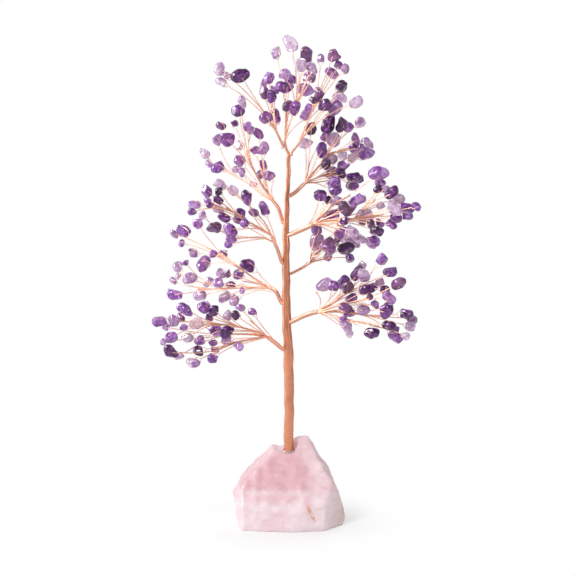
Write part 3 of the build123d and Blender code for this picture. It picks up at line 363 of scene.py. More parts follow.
def smooth_line(points, sizes, step):
    """A smooth curve through points, sampled at a step, with the sizes along it."""
    rows = np.column_stack([points, sizes])
    rows = np.vstack([2 * rows[0] - rows[1], rows, 2 * rows[-1] - rows[-2]])
    made = []
    for before, start, end, after in zip(rows, rows[1:], rows[2:], rows[3:]):
        count = max(int(np.linalg.norm(end[:3] - start[:3]) / step), 2)
        t = np.arange(count)[:, None] / count
        enter, leave = (end - before) / 2, (after - start) / 2
        made.append((2 * t**3 - 3 * t**2 + 1) * start + (t**3 - 2 * t**2 + t) * enter
                    + (3 * t**2 - 2 * t**3) * end + (t**3 - t**2) * leave)
    made = np.vstack(made + [rows[-2:-1]])
    return made[:, :3], made[:, 3]


def rounded(points, radius, steps=4):
    """A row of points with its inner corners rounded."""
    points = [np.asarray(p, float) for p in points]
    made = [points[0]]
    for before, corner, after in zip(points, points[1:], points[2:]):
        start = corner + unit(before - corner) * min(radius, np.linalg.norm(before - corner) / 2)
        end = corner + unit(after - corner) * min(radius, np.linalg.norm(after - corner) / 2)
        for t in np.linspace(0, 1, steps):
            made.append((1 - t) ** 2 * start + 2 * t * (1 - t) * corner + t**2 * end)
    return np.array(made + [points[-1]])


def carried(path):
    """Two directions square to a path, which don't twist along it."""
    ways = unit(np.gradient(path, axis=0))
    side = crosswise(ways[0])
    sides = []
    for way in ways:
        side = unit(side - (side @ way) * way)
        sides.append(side)
    return np.array(sides), np.cross(ways, sides)


def ring_faces(rings):
    """The faces between each ring of corners and the next."""
    after = np.roll(rings, -1, axis=1)
    return np.stack([rings[:-1], after[:-1], after[1:], rings[1:]], axis=-1).reshape(-1, 4).tolist()


def tube(path, angles, radii):
    """The corners and faces of a closed tube: a ring of radii at angles about each point of a path."""
    sides, ups = carried(path)
    out = np.cos(angles)[:, None] * sides[:, None] + np.sin(angles)[:, None] * ups[:, None]
    corners = path[:, None] + radii[..., None] * out
    index = np.arange(radii.size).reshape(radii.shape)
    return corners.reshape(-1, 3), ring_faces(index) + [index[0][::-1].tolist(), index[-1].tolist()]


def lobes(strands, angles, turns, wander=0.0):
    """A bundle's outline at angles along its length: 1 on top of its strands and 0 between them."""
    return np.abs(np.cos(strands / 2 * (angles - turns[:, None]) + wander))


def grooves_in(lobe):
    """How deep each corner of a bundle's outline lies between its strands, from 0 to 1, which is where the
    copper gets painted shade.
    """
    return (1 - lobe.ravel()) ** 2


def add_piece(name, parts, material, body, nodes, values=None):
    """A piece of the tree from its parts' corners and faces, which rides on a body for CAD nodes."""
    faces, start = [], 0
    for corners, sides in parts:
        faces += [[start + i for i in side] for side in sides]
        start += len(corners)
    mesh = bpy.data.meshes.new(name)
    mesh.from_pydata((np.vstack([corners for corners, _ in parts]) * MM).tolist(), [], faces)
    mesh.shade_smooth()
    mesh.materials.append(material)
    for key, numbers in (values or {}).items():
        mesh.attributes.new(key, "FLOAT", "POINT").data.foreach_set("value", np.asarray(numbers, np.float32))
    piece = bpy.data.objects.new(name, mesh)
    bpy.context.scene.collection.objects.link(piece)
    if body:
        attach(piece, body)
    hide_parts(*nodes)
    return piece


def cad_surface(node):
    """The corners, in millimetres, and triangles of a CAD node, with doubled corners joined."""
    mesh = frame["nodes"][node].data
    mesh.calc_loop_triangles()
    corners = np.empty(len(mesh.vertices) * 3, np.float32)
    mesh.vertices.foreach_get("co", corners)
    triangles = np.empty(len(mesh.loop_triangles) * 3, np.int32)
    mesh.loop_triangles.foreach_get("vertices", triangles)
    corners = corners.reshape(-1, 3).astype(float) / MM
    cells = np.round(corners / JOIN).astype(np.int64) @ np.array([1, CELLS, CELLS * CELLS])
    _, first, same = np.unique(cells, return_index=True, return_inverse=True)
    triangles = same.ravel()[triangles].reshape(-1, 3)
    whole = (triangles[:, 0] != triangles[:, 1]) & (triangles[:, 1] != triangles[:, 2])
    whole &= triangles[:, 0] != triangles[:, 2]
    return corners[first], triangles[whole]


def linked_groups(count, links):
    """A label for each of a number of things, the same for those that rows of links join."""
    label = np.arange(count)
    while True:
        lower = label.copy()
        np.minimum.at(lower, links.ravel(), np.repeat(label[links].min(axis=1), links.shape[1]))
        lower = lower[lower]
        if np.array_equal(lower, label):
            return label
        label = lower


def triangle_facts(corners, triangles):
    """The normals and areas of triangles."""
    a, b, c = (corners[triangles[:, k]] for k in range(3))
    across = np.cross(b - a, c - a)
    size = np.linalg.norm(across, axis=1)
    return across / np.maximum(size, 1e-12)[:, None], size / 2


def chips_in(node):
    """Each drilled chip of a CAD node: its middle, its hole's way, half its thickness, its outer planes."""
    corners, triangles = cad_surface(node)
    label = linked_groups(len(corners), triangles)
    chips, samples = [], 300
    for group in np.unique(label[triangles[:, 0]]):
        mine = triangles[label[triangles[:, 0]] == group]
        points = corners[np.unique(mine)]
        normals, areas = triangle_facts(corners, mine)
        offsets = np.sum(normals * corners[mine[:, 0]], axis=1)
        beyond = (points[::max(len(points) // samples, 1)] @ normals.T - offsets).max(axis=0)
        outer, hole = beyond < NEAR, (beyond > HOLE_DIAMETER / 2) & (areas > LEAST_AREA)
        away = np.linalg.svd(normals[hole] * areas[hole, None])[2][2]
        centres = corners[mine[hole]].mean(axis=1) + normals[hole] * HOLE_DIAMETER / 2
        middle = np.average(centres, axis=0, weights=areas[hole])
        ends = points @ away
        middle = middle + ((ends.max() + ends.min()) / 2 - middle @ away) * away
        offsets = offsets - normals @ middle
        half_thick = offsets[normals @ away > SAME_WAY].mean()
        chips.append((middle, away, half_thick, *thinned(normals[outer], offsets[outer])))
    return chips


def thinned(normals, offsets):
    """One plane for each way that planes face, of those that nearly face alike."""
    cells = np.round(normals * WAY_CELLS).astype(int) @ np.array([1, 64, 64 * 64])
    first = np.unique(cells, return_index=True)[1]
    return normals[first], offsets[first]


def flat_discs(corners, triangles, radius):
    """The middle and normal of each full round flat face of a radius."""
    normals, areas = triangle_facts(corners, triangles)
    edges = np.sort(np.vstack([triangles[:, [0, 1]], triangles[:, [1, 2]], triangles[:, [2, 0]]]), axis=1)
    owner = np.tile(np.arange(len(triangles)), 3)
    order = np.lexsort((edges[:, 1], edges[:, 0]))
    edges, owner = edges[order], owner[order]
    pairs = np.flatnonzero((edges[1:] == edges[:-1]).all(axis=1))
    links = np.column_stack([owner[pairs], owner[pairs + 1]])
    links = links[np.sum(normals[links[:, 0]] * normals[links[:, 1]], axis=1) > SAME_PLANE]
    label = linked_groups(len(triangles), links)
    whole = np.bincount(label, areas) / (math.pi * radius**2)
    discs = []
    for group in np.flatnonzero((whole > DISC_SHARES[0]) & (whole < DISC_SHARES[1])):
        mine = np.flatnonzero(label == group)
        points = corners[np.unique(triangles[mine])]
        if np.linalg.norm(points - points.mean(axis=0), axis=1).max() < DISC_SPREAD * radius:
            discs.append((rim_middle(points), unit((normals[mine] * areas[mine, None]).sum(axis=0))))
    return discs


def rim_middle(points):
    """The middle of the ring that points lie on."""
    middle = points.mean(axis=0)
    ways = np.linalg.svd(points - middle)[2][:2]
    flat = (points - middle) @ ways.T
    sums = np.column_stack([2 * flat, np.ones(len(flat))])
    return middle + np.linalg.lstsq(sums, np.sum(flat**2, axis=1), rcond=None)[0][:2] @ ways


def twigs_in(name, gems):
    """Each twig of a spray: its start, its way there, its stone, its neck, its way there, and the
    chip's thickness and length. A twig fits a stone if its neck's rim is where the chip asks for it."""
    corners, triangles = cad_surface(name + "_twigs")
    label = linked_groups(len(corners), triangles)
    discs = flat_discs(corners, triangles, WIRE)
    fits = []
    for twig, (start, normal) in enumerate(discs):
        mine = corners[label == label[np.linalg.norm(corners - start, axis=1).argmin()]]
        for number, (stone, away, half_thick, _, _) in enumerate(gems):
            if np.linalg.norm(mine - stone, axis=1).min() > half_thick + 2 * WIRE:
                continue
            grade = 4 * half_thick / CHIP_THICKNESS - 1
            for share in chip_long_shares:
                length = CHIP_LENGTH * share * grade
                drop = length / 2 + NECK_LENGTH + 2 * half_thick * NECK_THICKNESS_SHARE - NECK_GRIP
                rise = unit(stone - start)
                for _ in range(SETTLING):
                    chord = unit(stone - drop * rise - start)
                    rise = unit(2 * (-normal @ chord) * chord + normal)
                neck = stone - drop * rise
                near = mine[np.abs((mine - neck) @ rise) < NEAR]
                rim = np.abs(np.linalg.norm(near - neck, axis=1) - WIRE) < NEAR
                score = rim.sum() - SLANT_COST * abs(rise @ away)
                fits.append((score, twig, number, neck, rise, 2 * half_thick, length))
    found, used = {}, set()
    for _, twig, number, *rest in sorted(fits, key=lambda fit: -fit[0]):
        if twig not in found and number not in used:
            found[twig] = (discs[twig][0], -discs[twig][1], number, *rest)
            used.add(number)
    if len(found) != len(gems):
        raise RuntimeError(f"{name} has {len(gems)} stones, of which {len(found)} have a twig")
    return list(found.values())


def sign(operation, turned=False):
    """One of Python's signs, or a method, which adds a Math node."""
    def added(self, other):
        first, second = (other, self) if turned else (self, other)
        return self.finish.value(0, "ShaderNodeMath", {"operation": operation}, {0: first, 1: second})
    return added


class Value:
    """The output of a node, on which Python's own signs work by adding Math nodes."""

    def __init__(self, finish, socket):
        self.finish, self.socket = finish, socket

    __add__ = __radd__ = sign("ADD")
    __sub__, __rsub__ = sign("SUBTRACT"), sign("SUBTRACT", turned=True)
    __mul__ = __rmul__ = sign("MULTIPLY")
    __pow__ = sign("POWER")
    at_most, at_least = sign("MINIMUM"), sign("MAXIMUM")

    def clear(self):
        """The value kept between 0 and 1."""
        return self.at_least(0.0).at_most(1.0)

    def step(self, low, high):
        """A smooth step from 0 to 1 as the value goes from low to high."""
        return self.finish.value("Result", "ShaderNodeMapRange", {"interpolation_type": "SMOOTHSTEP"},
                                 {"Value": self, "From Min": low, "From Max": high})

    def fall(self, low, high):
        """A smooth step from 1 to 0."""
        return 1.0 - self.step(low, high)


class Finish:
    """The nodes of a material, with its shader, or of the world."""

    def __init__(self, owner):
        self.owner = owner
        owner.use_nodes = True
        self.tree = owner.node_tree
        self.shader = self.tree.nodes.get("Principled BSDF")

    def feed(self, socket, value):
        """Links a socket to a value, or sets it to a number, colour or vector."""
        if isinstance(value, Value):
            self.tree.links.new(value.socket, socket)
        else:
            socket.default_value = value

    def node(self, kind, settings=None, inputs=None):
        """Adds a node: its settings first, then the values or links of its sockets."""
        made = self.tree.nodes.new(kind)
        for key, value in (settings or {}).items():
            if key == "stops":
                ramp = made.color_ramp
                while len(ramp.elements) < len(value):
                    ramp.elements.new(0.5)
                for stop, (where, colour) in zip(ramp.elements, value):
                    stop.position, stop.color = where, (*colour, 1.0)
            else:
                setattr(made, key, value)
        for key, value in (inputs or {}).items():
            self.feed(made.inputs[key], value)
        return made

    def value(self, output, kind, settings=None, inputs=None):
        """An output of a new node."""
        return Value(self, self.node(kind, settings, inputs).outputs[output])

    def coordinates(self):
        """Places on the piece, in metres."""
        return self.value("Object", "ShaderNodeTexCoord")

    def noise(self, where, scale, detail=3.0, roughness=0.55, distortion=0.0):
        """Clouds with a scale, in lumps to a metre."""
        return self.value(0, "ShaderNodeTexNoise", {}, {
            "Vector": where, "Scale": scale, "Detail": detail, "Roughness": roughness,
            "Distortion": distortion})

    def number(self, name):
        """A number kept on the mesh."""
        return self.value("Fac", "ShaderNodeAttribute", {"attribute_name": name})

    def axis(self, where, letter):
        """One coordinate of a place."""
        return self.value(letter, "ShaderNodeSeparateXYZ", {}, {0: where})

    def ramp(self, value, stops):
        """Colours along a value."""
        return self.value("Color", "ShaderNodeValToRGB", {"stops": stops}, {"Fac": value})

    def mix(self, share, first, second):
        """Two colours mixed by a share."""
        made = self.node("ShaderNodeMix", {"data_type": "RGBA"}, {"Factor": share})
        for socket, colour in zip([s for s in made.inputs if s.type == "RGBA"], [first, second]):
            self.feed(socket, colour if isinstance(colour, Value) else (*colour, 1.0))
        return Value(self, next(s for s in made.outputs if s.type == "RGBA"))

    def far_from(self, where, point):
        """How far places are from a point, in metres."""
        return self.value("Value", "ShaderNodeVectorMath", {"operation": "DISTANCE"}, {0: where, 1: point})

    def stretched(self, where, scales):
        """Places stretched along the axes."""
        return self.value("Vector", "ShaderNodeVectorMath", {"operation": "MULTIPLY"}, {0: where, 1: scales})

    def surface(self, values):
        """Sets the shader's sockets."""
        for key, value in values.items():
            self.feed(self.shader.inputs[key], value)
        return self.owner

    def bump(self, height, strength, distance):
        """A relief on the surface, with a depth in metres."""
        return self.value("Normal", "ShaderNodeBump", {}, {
            "Strength": strength, "Distance": distance, "Height": height})

    def seen(self):
        """1 for what the camera sees, by itself or through a clear stone, and 0 for what gives light."""
        rays = self.node("ShaderNodeLightPath").outputs
        return (Value(self, rays["Is Camera Ray"]) + Value(self, rays["Is Transmission Ray"])).clear()

    def show(self, output, share, first, second):
        """Sends two shaders, mixed by a share, to an output node."""
        mixed = self.value(0, "ShaderNodeMixShader", {}, {0: share, 1: first, 2: second})
        self.node(output, {"is_active_output": True}, {"Surface": mixed})


def copper(name, colour, dark, dull):
    """Bare copper wire: warm, a little drawn and brushed, with shade painted darker between the strands."""
    finish = Finish(bpy.data.materials.new(name))
    where = finish.coordinates()
    patches = finish.noise(where, 90.0, 4.0)
    specks = finish.noise(where, 1400.0, 3.0)
    groove = finish.number("groove")
    tint = finish.ramp(patches * 0.8 + specks * 0.2, [
        (0.25, [c * 0.72 for c in colour]), (0.5, colour), (0.8, [min(c * 1.18, 1.0) for c in colour])])
    return finish.surface({
        # Painted shade: the colour goes toward the dark shade colour where corners lie between the strands
        "Base Color": finish.mix((groove * 0.8).clear(), tint, dark),
        "Metallic": 0.95 - groove * 0.3,
        "Roughness": dull + patches * 0.14 + groove * 0.25,
        "Normal": finish.bump(specks + finish.noise(where, 350.0) * 1.5, 0.25, 0.00012),
    })


def amethyst(name, dark, light, milk, clear, cloudy):
    """Polished amethyst chips: violet in zones, some smoky, with paler veils, a glassy coat and painted
    shade in the drilled holes.
    """
    finish = Finish(bpy.data.materials.new(name))
    where = finish.coordinates()
    shade, smoke = finish.number("shade"), finish.number("smoke")
    zones = finish.noise(where, 230.0, 2.0, 0.5, 1.2)
    veils = finish.noise(where, 520.0, 5.0, 0.65, 1.6)
    hole = finish.number("hole")
    tint = finish.ramp((zones * 1.9 + shade * 0.6 - 0.75).clear(), [(0.1, dark), (0.5, light), (0.95, milk)])
    tint = finish.mix(veils.step(0.55, 0.72) * cloudy, tint, milk)
    tint = finish.mix(smoke.step(0.6, 1.0) * 0.35, tint, (0.36, 0.17, 0.24))
    return finish.surface({
        # Painted shade: darker in the dimples at the ends of the drilled hole
        "Base Color": finish.mix((hole * 0.75).clear(), tint, [c * 0.25 for c in dark]),
        "Roughness": 0.05 + veils * 0.1 + hole * 0.3,
        "Transmission Weight": clear,
        "IOR": 1.5,
        "Coat Weight": 0.3,
        "Coat Roughness": 0.02,
        "Normal": finish.bump(finish.noise(where, 420.0, 3.0), 0.22, 0.00025),
    })


def rose_quartz(name, settings):
    """Broken rose quartz: pink clouds, whitish veils, fine breaks, a rusty crack and a rusty edge."""
    finish = Finish(bpy.data.materials.new(name))
    where = finish.coordinates()
    x, y, z = (finish.axis(where, letter) for letter in "XYZ")
    clouds = finish.noise(where, 34.0, 5.0, 0.6, 0.6)
    veils = finish.noise(finish.stretched(where, (1.0, 1.0, 1.4)), 75.0, 6.0, 0.62, 1.0)
    grain = finish.noise(where, 900.0, 4.0, 0.6)
    breaks = finish.noise(finish.stretched(where, (1.0, 1.0, 1.8)), 150.0, 8.0, 0.68, 0.7)
    ragged = finish.noise(where, 420.0, 5.0, 0.7, 1.2)
    tint = finish.ramp(clouds * 0.6 + breaks * 0.4, [
        (0.36, settings.pink), (0.52, settings.pale_pink), (0.7, (0.84, 0.72, 0.76))])
    tint = finish.mix(veils.step(0.54, 0.74) * 0.5, tint, (0.86, 0.78, 0.82))

    # On the front, a deep zone above and a whitish one below
    front = (y + clouds * 0.02).fall(0.002, 0.018)
    upper = (z + clouds * 0.006).step(0.0245, 0.0268) * (z + clouds * 0.012).fall(0.04, 0.05)
    upper = upper * front * (x + clouds * 0.01).fall(0.012, 0.024)
    tint = finish.mix(upper * (0.5 + breaks * 0.5).clear(), tint, settings.deep_pink)
    lower = (z + clouds * 0.006).fall(0.0235, 0.025) * veils.step(0.3, 0.6) * front
    tint = finish.mix(lower * 0.45, tint, (0.85, 0.77, 0.8))

    # A pink band at the left, and a warmer shade at the right
    level = z + ragged * 0.003
    band = level.step(0.0165, 0.0195) * level.fall(0.0205, 0.024)
    band = band * x.fall(0.002, 0.012) * clouds.step(0.35, 0.5)
    tint = finish.mix(band * 0.6, tint, settings.pink)
    tint = finish.mix((x - z * 0.25).step(0.02, 0.03) * 0.55, tint, (0.66, 0.55, 0.5))

    # Rust in a slanting crack, and on the edge at the right
    low = z - 0.0105
    slant = x - 0.0128 + low * 0.45
    crack = (slant * slant * 14.0 + low * low) ** 0.5
    rust = (crack + ragged * 0.004).fall(0.0052, 0.0082) * ragged.step(0.4, 0.52) * y.fall(-0.004, 0.0)
    edge = finish.far_from(finish.stretched(where, (1.0, 0.3, 0.7)), (0.0305, -0.003, 0.0055))
    stain = (edge + ragged * 0.0045).fall(0.0036, 0.0056) * ragged.step(0.44, 0.58) * 0.8
    tint = finish.mix(rust.at_least(stain) * 0.8, tint, (0.55, 0.28, 0.12))
    return finish.surface({
        "Base Color": tint,
        "Roughness": 0.34 + breaks * 0.3 - veils * 0.1,
        "Subsurface Weight": 0.3,
        "Subsurface Radius": (1.0, 0.6, 0.55),
        "Subsurface Scale": 0.004,
        "Coat Weight": 0.12,
        "Normal": finish.bump(breaks + grain * 0.16, 0.5, 0.0014),
    })


def glue_finish(name):
    """Hard clear glue, through which the pink stone shows, with small bubbles."""
    finish = Finish(bpy.data.materials.new(name))
    where = finish.coordinates()
    lumps = finish.noise(where, 700.0, 4.0)
    return finish.surface({
        "Base Color": finish.ramp(lumps, [(0.3, (0.66, 0.36, 0.34)), (0.6, (0.8, 0.56, 0.56))]),
        "Roughness": 0.18 + lumps * 0.2,
        "Transmission Weight": 0.35,
        "Coat Weight": 0.4,
        "Normal": finish.bump(lumps, 0.4, 0.0003),
    })


def panel_length(name, description, size):
    """A length for the panel, in millimetres."""
    return FloatProperty(name=name, description=description, default=size * MM, unit="LENGTH")


def panel_colour(name, description, tint):
    """A colour for the panel."""
    return FloatVectorProperty(name=name, description=description, default=tint, subtype="COLOR")


def panel_number(name, description, number):
    """A whole number for the panel."""
    return IntProperty(name=name, description=description, default=number, min=0)


class BaseSettings(bpy.types.PropertyGroup):
    """The rose quartz base."""

    grain: panel_length("Mesh Grain", "Size of the stone's faces", 0.8)
    break_depth: panel_length("Break Depth", "Depth of the broken steps on its sides", 0.32)
    pink: panel_colour("Pink", "Usual colour of the quartz", (0.74, 0.46, 0.5))
    pale_pink: panel_colour("Pale Pink", "Colour of the pale clouds", (0.8, 0.6, 0.64))
    deep_pink: panel_colour("Deep Pink", "Colour of the deep zone on its front", (0.72, 0.4, 0.45))


class WireSettings(bpy.types.PropertyGroup):
    """The copper wire of trunk, branches and twigs."""

    twig_lay: panel_length("Twig Lay", "Length of one twist of a twig", 3.6)
    branch_lay: panel_length("Branch Lay", "Length of one twist of a branch", 15)
    trunk_lay: panel_length("Trunk Lay", "Length of one twist of the trunk", 46)
    copper: panel_colour("Copper", "Colour of the trunk's wire", (0.78, 0.32, 0.19))
    # Painted sheen: the twigs' copper is paler than the trunk's, standing in for the light that the thin
    # wires reflect
    bright: panel_colour("Bright Copper", "Colour of the twigs' wire", (0.95, 0.58, 0.44))
    # Painted shade: the colour painted between the strands, as the shade that falls there
    shadow: panel_colour("Groove", "Colour between the strands", (0.2, 0.055, 0.03))


class GemSettings(bpy.types.PropertyGroup):
    """The amethyst chips."""

    breaks: panel_number("Breaks", "Deep broken faces on each chip", 3)
    facets: panel_number("Facets", "Small faces on each chip", 6)
    pointed_share: FloatProperty(name="Pointed Share", description="Share of the chips with a pointed end",
                                 default=0.5, min=0.0, max=1.0)
    tumbling: panel_number("Tumbling", "Rounds of smoothing of each chip", 1)
    seed: panel_number("Seed", "Number that the shapes of the chips follow", 11)


class GEMTREE_OT_base_stone(bpy.types.Operator):
    """Builds the rose quartz lump from its solid, with broken steps and a sawn bottom"""

    bl_idname = "gemtree.base_stone"
    bl_label = "Base Stone"

    def execute(self, context):
        settings = context.scene.gemtree_base
        rough = bpy.data.objects.new("rough", frame["nodes"]["base_stone"].data.copy())
        context.scene.collection.objects.link(rough)
        remesh = rough.modifiers.new("even", "REMESH")
        remesh.mode, remesh.voxel_size = "VOXEL", settings.grain
        context.view_layer.update()
        mesh = bpy.data.meshes.new_from_object(rough.evaluated_get(context.evaluated_depsgraph_get()))
        bpy.data.objects.remove(rough)
        points = np.array([v.co for v in mesh.vertices]) / MM
        normals = np.array([v.normal for v in mesh.vertices])
        faces = [list(face.vertices) for face in mesh.polygons]
        bpy.data.meshes.remove(mesh)
        x, y, z = points.T
        steps = waves(points * [1, 1, 1.7], size=9.0, seed=3) + 0.5 * waves(points, size=4.0, seed=4)
        ridges = 1 - 2 * np.abs(waves(points * [1, 1, 1.5], size=15.0, seed=5, count=5))
        depth = settings.break_depth / MM * (0.8 * steps + 0.9 * ridges)
        # The seat round the trunk's foot and the sawn bottom stay nearly as the solid has them
        seat_radius, seat_blend, sawn_height, sawn_blend = 6.0, 4.0, 0.5, 1.5
        seat = np.clip((np.hypot(x, y) - seat_radius) / seat_blend, 0.15, 1)
        seat[z < SEAT_HEIGHT - seat_blend] = 1
        made = points + normals * (depth * seat)[:, None]
        made[:, 2] = np.where(z < 0.6, np.maximum(z, 0), made[:, 2])
        made = points + (made - points) * np.clip((z - sawn_height) / sawn_blend, 0.05, 1)[:, None]
        made[:, 2] = np.maximum(made[:, 2], 0)
        material = rose_quartz("rose_quartz", settings)
        add_piece("base_lump", [(made, faces)], material, "trunk", ["base_stone"])
        return {"FINISHED"}


class GEMTREE_OT_base_glue(bpy.types.Operator):
    """Builds the bead of glue round the foot of the trunk"""

    bl_idname = "gemtree.base_glue"
    bl_label = "Glue Bead"

    def execute(self, context):
        profile = rounded(glue_section, 0.5, 5)
        foot = TRUNK_FOOT_DIAMETER / 2
        corners = []
        for angle in ring(64):
            swell = 1 + 0.06 * math.sin(3 * angle + 1) + 0.04 * math.sin(7 * angle)
            for out, up in profile:
                reach = out if up < 0 or out < 2.9 else foot + (out - foot) * swell
                height = SEAT_HEIGHT + up * (swell if up > 0 else 1)
                corners.append((reach * math.cos(angle), reach * math.sin(angle), height))
        faces = ring_faces(np.arange(len(corners)).reshape(-1, len(profile)).T)
        bead = [(np.array(corners), faces)]
        add_piece("glue_bead", bead, glue_finish("glue"), "trunk", ["base_glue"])
        return {"FINISHED"}


class GEMTREE_OT_trunk(bpy.types.Operator):
    """Builds the trunk as a bundle of strands with their lay"""

    bl_idname = "gemtree.trunk"
    bl_label = "Trunk"

    def execute(self, context):
        settings = context.scene.gemtree_wire
        step, evened, groove_depth, lump_depth = 0.7, 15, 0.07, 0.16
        heights = np.arange(SEAT_HEIGHT - BORE_DEPTH, FORK_HEIGHT + 0.1, step)
        path = np.array([trunk_centre(height) for height in heights])
        sway = np.convolve(np.pad(path[:, 0], evened // 2, mode="edge"), np.ones(evened) / evened, "valid")
        path[:, 0] = sway + (0.14 * np.sin(heights / 3.1) + 0.1 * np.sin(heights / 1.7 + 1))
        wander = 0.35 * np.sin(heights / 11) + 0.2 * np.sin(heights / 4.3)
        angles = ring(TRUNK_STRANDS * STRAND_CORNERS)
        turns = 2 * math.pi * heights / (settings.trunk_lay / MM)
        lobe = lobes(TRUNK_STRANDS, angles, turns, wander[:, None])
        places = [np.repeat(heights, len(angles)) / 2.2]
        places += [np.tile(2 * wave(angles), len(heights)) for wave in (np.cos, np.sin)]
        lumps = waves(np.column_stack(places), size=7.0, seed=21).reshape(lobe.shape)
        radii = trunk_diameter(heights)[:, None] / 2 - groove_depth * (1 - lobe) + lump_depth * lumps
        material = copper("trunk_copper", settings.copper, settings.shadow, dull=0.12)
        add_piece("trunk_strands", [tube(path, angles, radii)], material, "trunk", ["trunk_bundle"],
                  {"groove": grooves_in(lobe)})
        return {"FINISHED"}


class GEMTREE_OT_branches(bpy.types.Operator):
    """Builds each branch with its limbs as twisted strands"""

    bl_idname = "gemtree.branches"
    bl_label = "Branches"

    def execute(self, context):
        settings = context.scene.gemtree_wire
        # Painted sheen: the branches' copper lies half way to the twigs' paler one
        between = [(a + b) / 2 for a, b in zip(settings.copper, settings.bright)]
        material = copper("branch_copper", between, settings.shadow, dull=0.22)
        step, radius_share, groove_depth, end_length = 0.6, 0.46, 0.2, 0.8
        for name in sprays:
            parts, grooves = [], []
            limbs = limbs_of(name)
            for points, sizes in limbs:
                path, thick = smooth_line(points, sizes, step)
                run = run_of(path)
                strands = max(3, round(math.pi * (thick.mean() - 2 * WIRE) / (2 * WIRE)))
                angles = ring(strands * STRAND_CORNERS)
                lay = settings.branch_lay / MM * (0.35 + 0.27 * thick.mean())
                lobe = lobes(strands, angles, 2 * math.pi * run / lay)
                tapered = np.sqrt(np.clip((run[-1] - run) / end_length, 0.02, 1))
                radii = (thick[:, None] * radius_share - groove_depth * (1 - lobe)) * tapered[:, None]
                parts.append(tube(path, angles, radii))
                grooves.append(grooves_in(lobe))
            bends = body_of(name) != "trunk"
            piece = add_piece(name + "_bundle", parts, material, None if bends else "trunk",
                              [name + "_stem"], {"groove": np.concatenate(grooves)})
            if bends:
                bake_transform(piece)
        return {"FINISHED"}


class GEMTREE_OT_leaves(bpy.types.Operator):
    """Builds each chip, and each twig as a twisted pair of wires with its eye through the chip"""

    bl_idname = "gemtree.leaves"
    bl_label = "Twigs and Chips"

    def execute(self, context):
        wires, gems = context.scene.gemtree_wire, context.scene.gemtree_gems
        # Painted sheen: the twigs' wire takes the paler copper
        wire_finish = copper("twig_copper", wires.bright, wires.shadow, dull=0.32)
        finishes = {tone: amethyst(tone + "_amethyst", *look) for tone, look in amethysts.items()}
        ball = pebble_ball()
        angles = ring(STRAND_CORNERS)
        for count, name in enumerate(sprays):
            chips = []
            for shelf, (tone, finish) in enumerate(finishes.items()):
                found = chips_in(f"{name}_{tone}_stones")
                parts, shades, smokes, holes = [], [], [], []
                for number, chip in enumerate(found):
                    corners, faces, hole = pebble(chip, ball, gems, 1000 * count + 100 * shelf + number)
                    parts.append((corners, faces))
                    random = np.random.default_rng([gems.seed, count, shelf, number])
                    shades += [random.uniform(0, 1)] * len(corners)
                    smokes += [random.uniform(0, 1)] * len(corners)
                    holes += list(hole)
                add_piece(f"{name}_{tone}_gems", parts, finish, body_of(name), [f"{name}_{tone}_stones"],
                          # hole marks where shade is painted at the ends of each chip's hole
                          {"shade": shades, "smoke": smokes, "hole": holes})
                chips += found
            limbs = [line for points, sizes in limbs_of(name) for line in zip(points, points[1:], sizes)]
            parts = []
            for twig in twigs_in(name, chips):
                for strand in (0, 1):
                    path = strand_path(twig, chips[twig[2]], strand, limbs, wires.twig_lay / MM)
                    parts.append(tube(path, angles, np.full((len(path), len(angles)), TWIG_STRAND_RADIUS)))
            add_piece(name + "_wires", parts, wire_finish, body_of(name), [name + "_twigs"])
        return {"FINISHED"}


def pebble_ball():
    """A fine ball with a corner at each pole: its corners, its faces and its neighbours."""
    work = bmesh.new()
    bmesh.ops.create_icosphere(work, subdivisions=4, radius=1.0)
    work.verts.ensure_lookup_table()
    corners = np.array([v.co for v in work.verts])
    faces = [[v.index for v in face.verts] for face in work.faces]
    links = np.array([[edge.verts[0].index, edge.verts[1].index] for edge in work.edges])
    work.free()
    corners = unit(corners)
    pole = corners[np.argmax(corners[:, 2])]
    if pole[2] < POLE:
        raise RuntimeError("the ball has no corner at its pole")
    return corners, faces, links


def even_out(values, links):
    """Each value moved half way to the mean of its neighbours."""
    total, count = np.zeros_like(values), np.zeros(len(values))
    for a, b in ((0, 1), (1, 0)):
        np.add.at(total, links[:, a], values[links[:, b]])
        np.add.at(count, links[:, a], 1)
    return (values + total / count) / 2


def reach_to(offsets, facing):
    """How far rays run to planes at offsets, from how much each plane faces the ray."""
    least, far = 1e-3, 1e3
    return np.where(facing > least, offsets / np.maximum(facing, least), far)


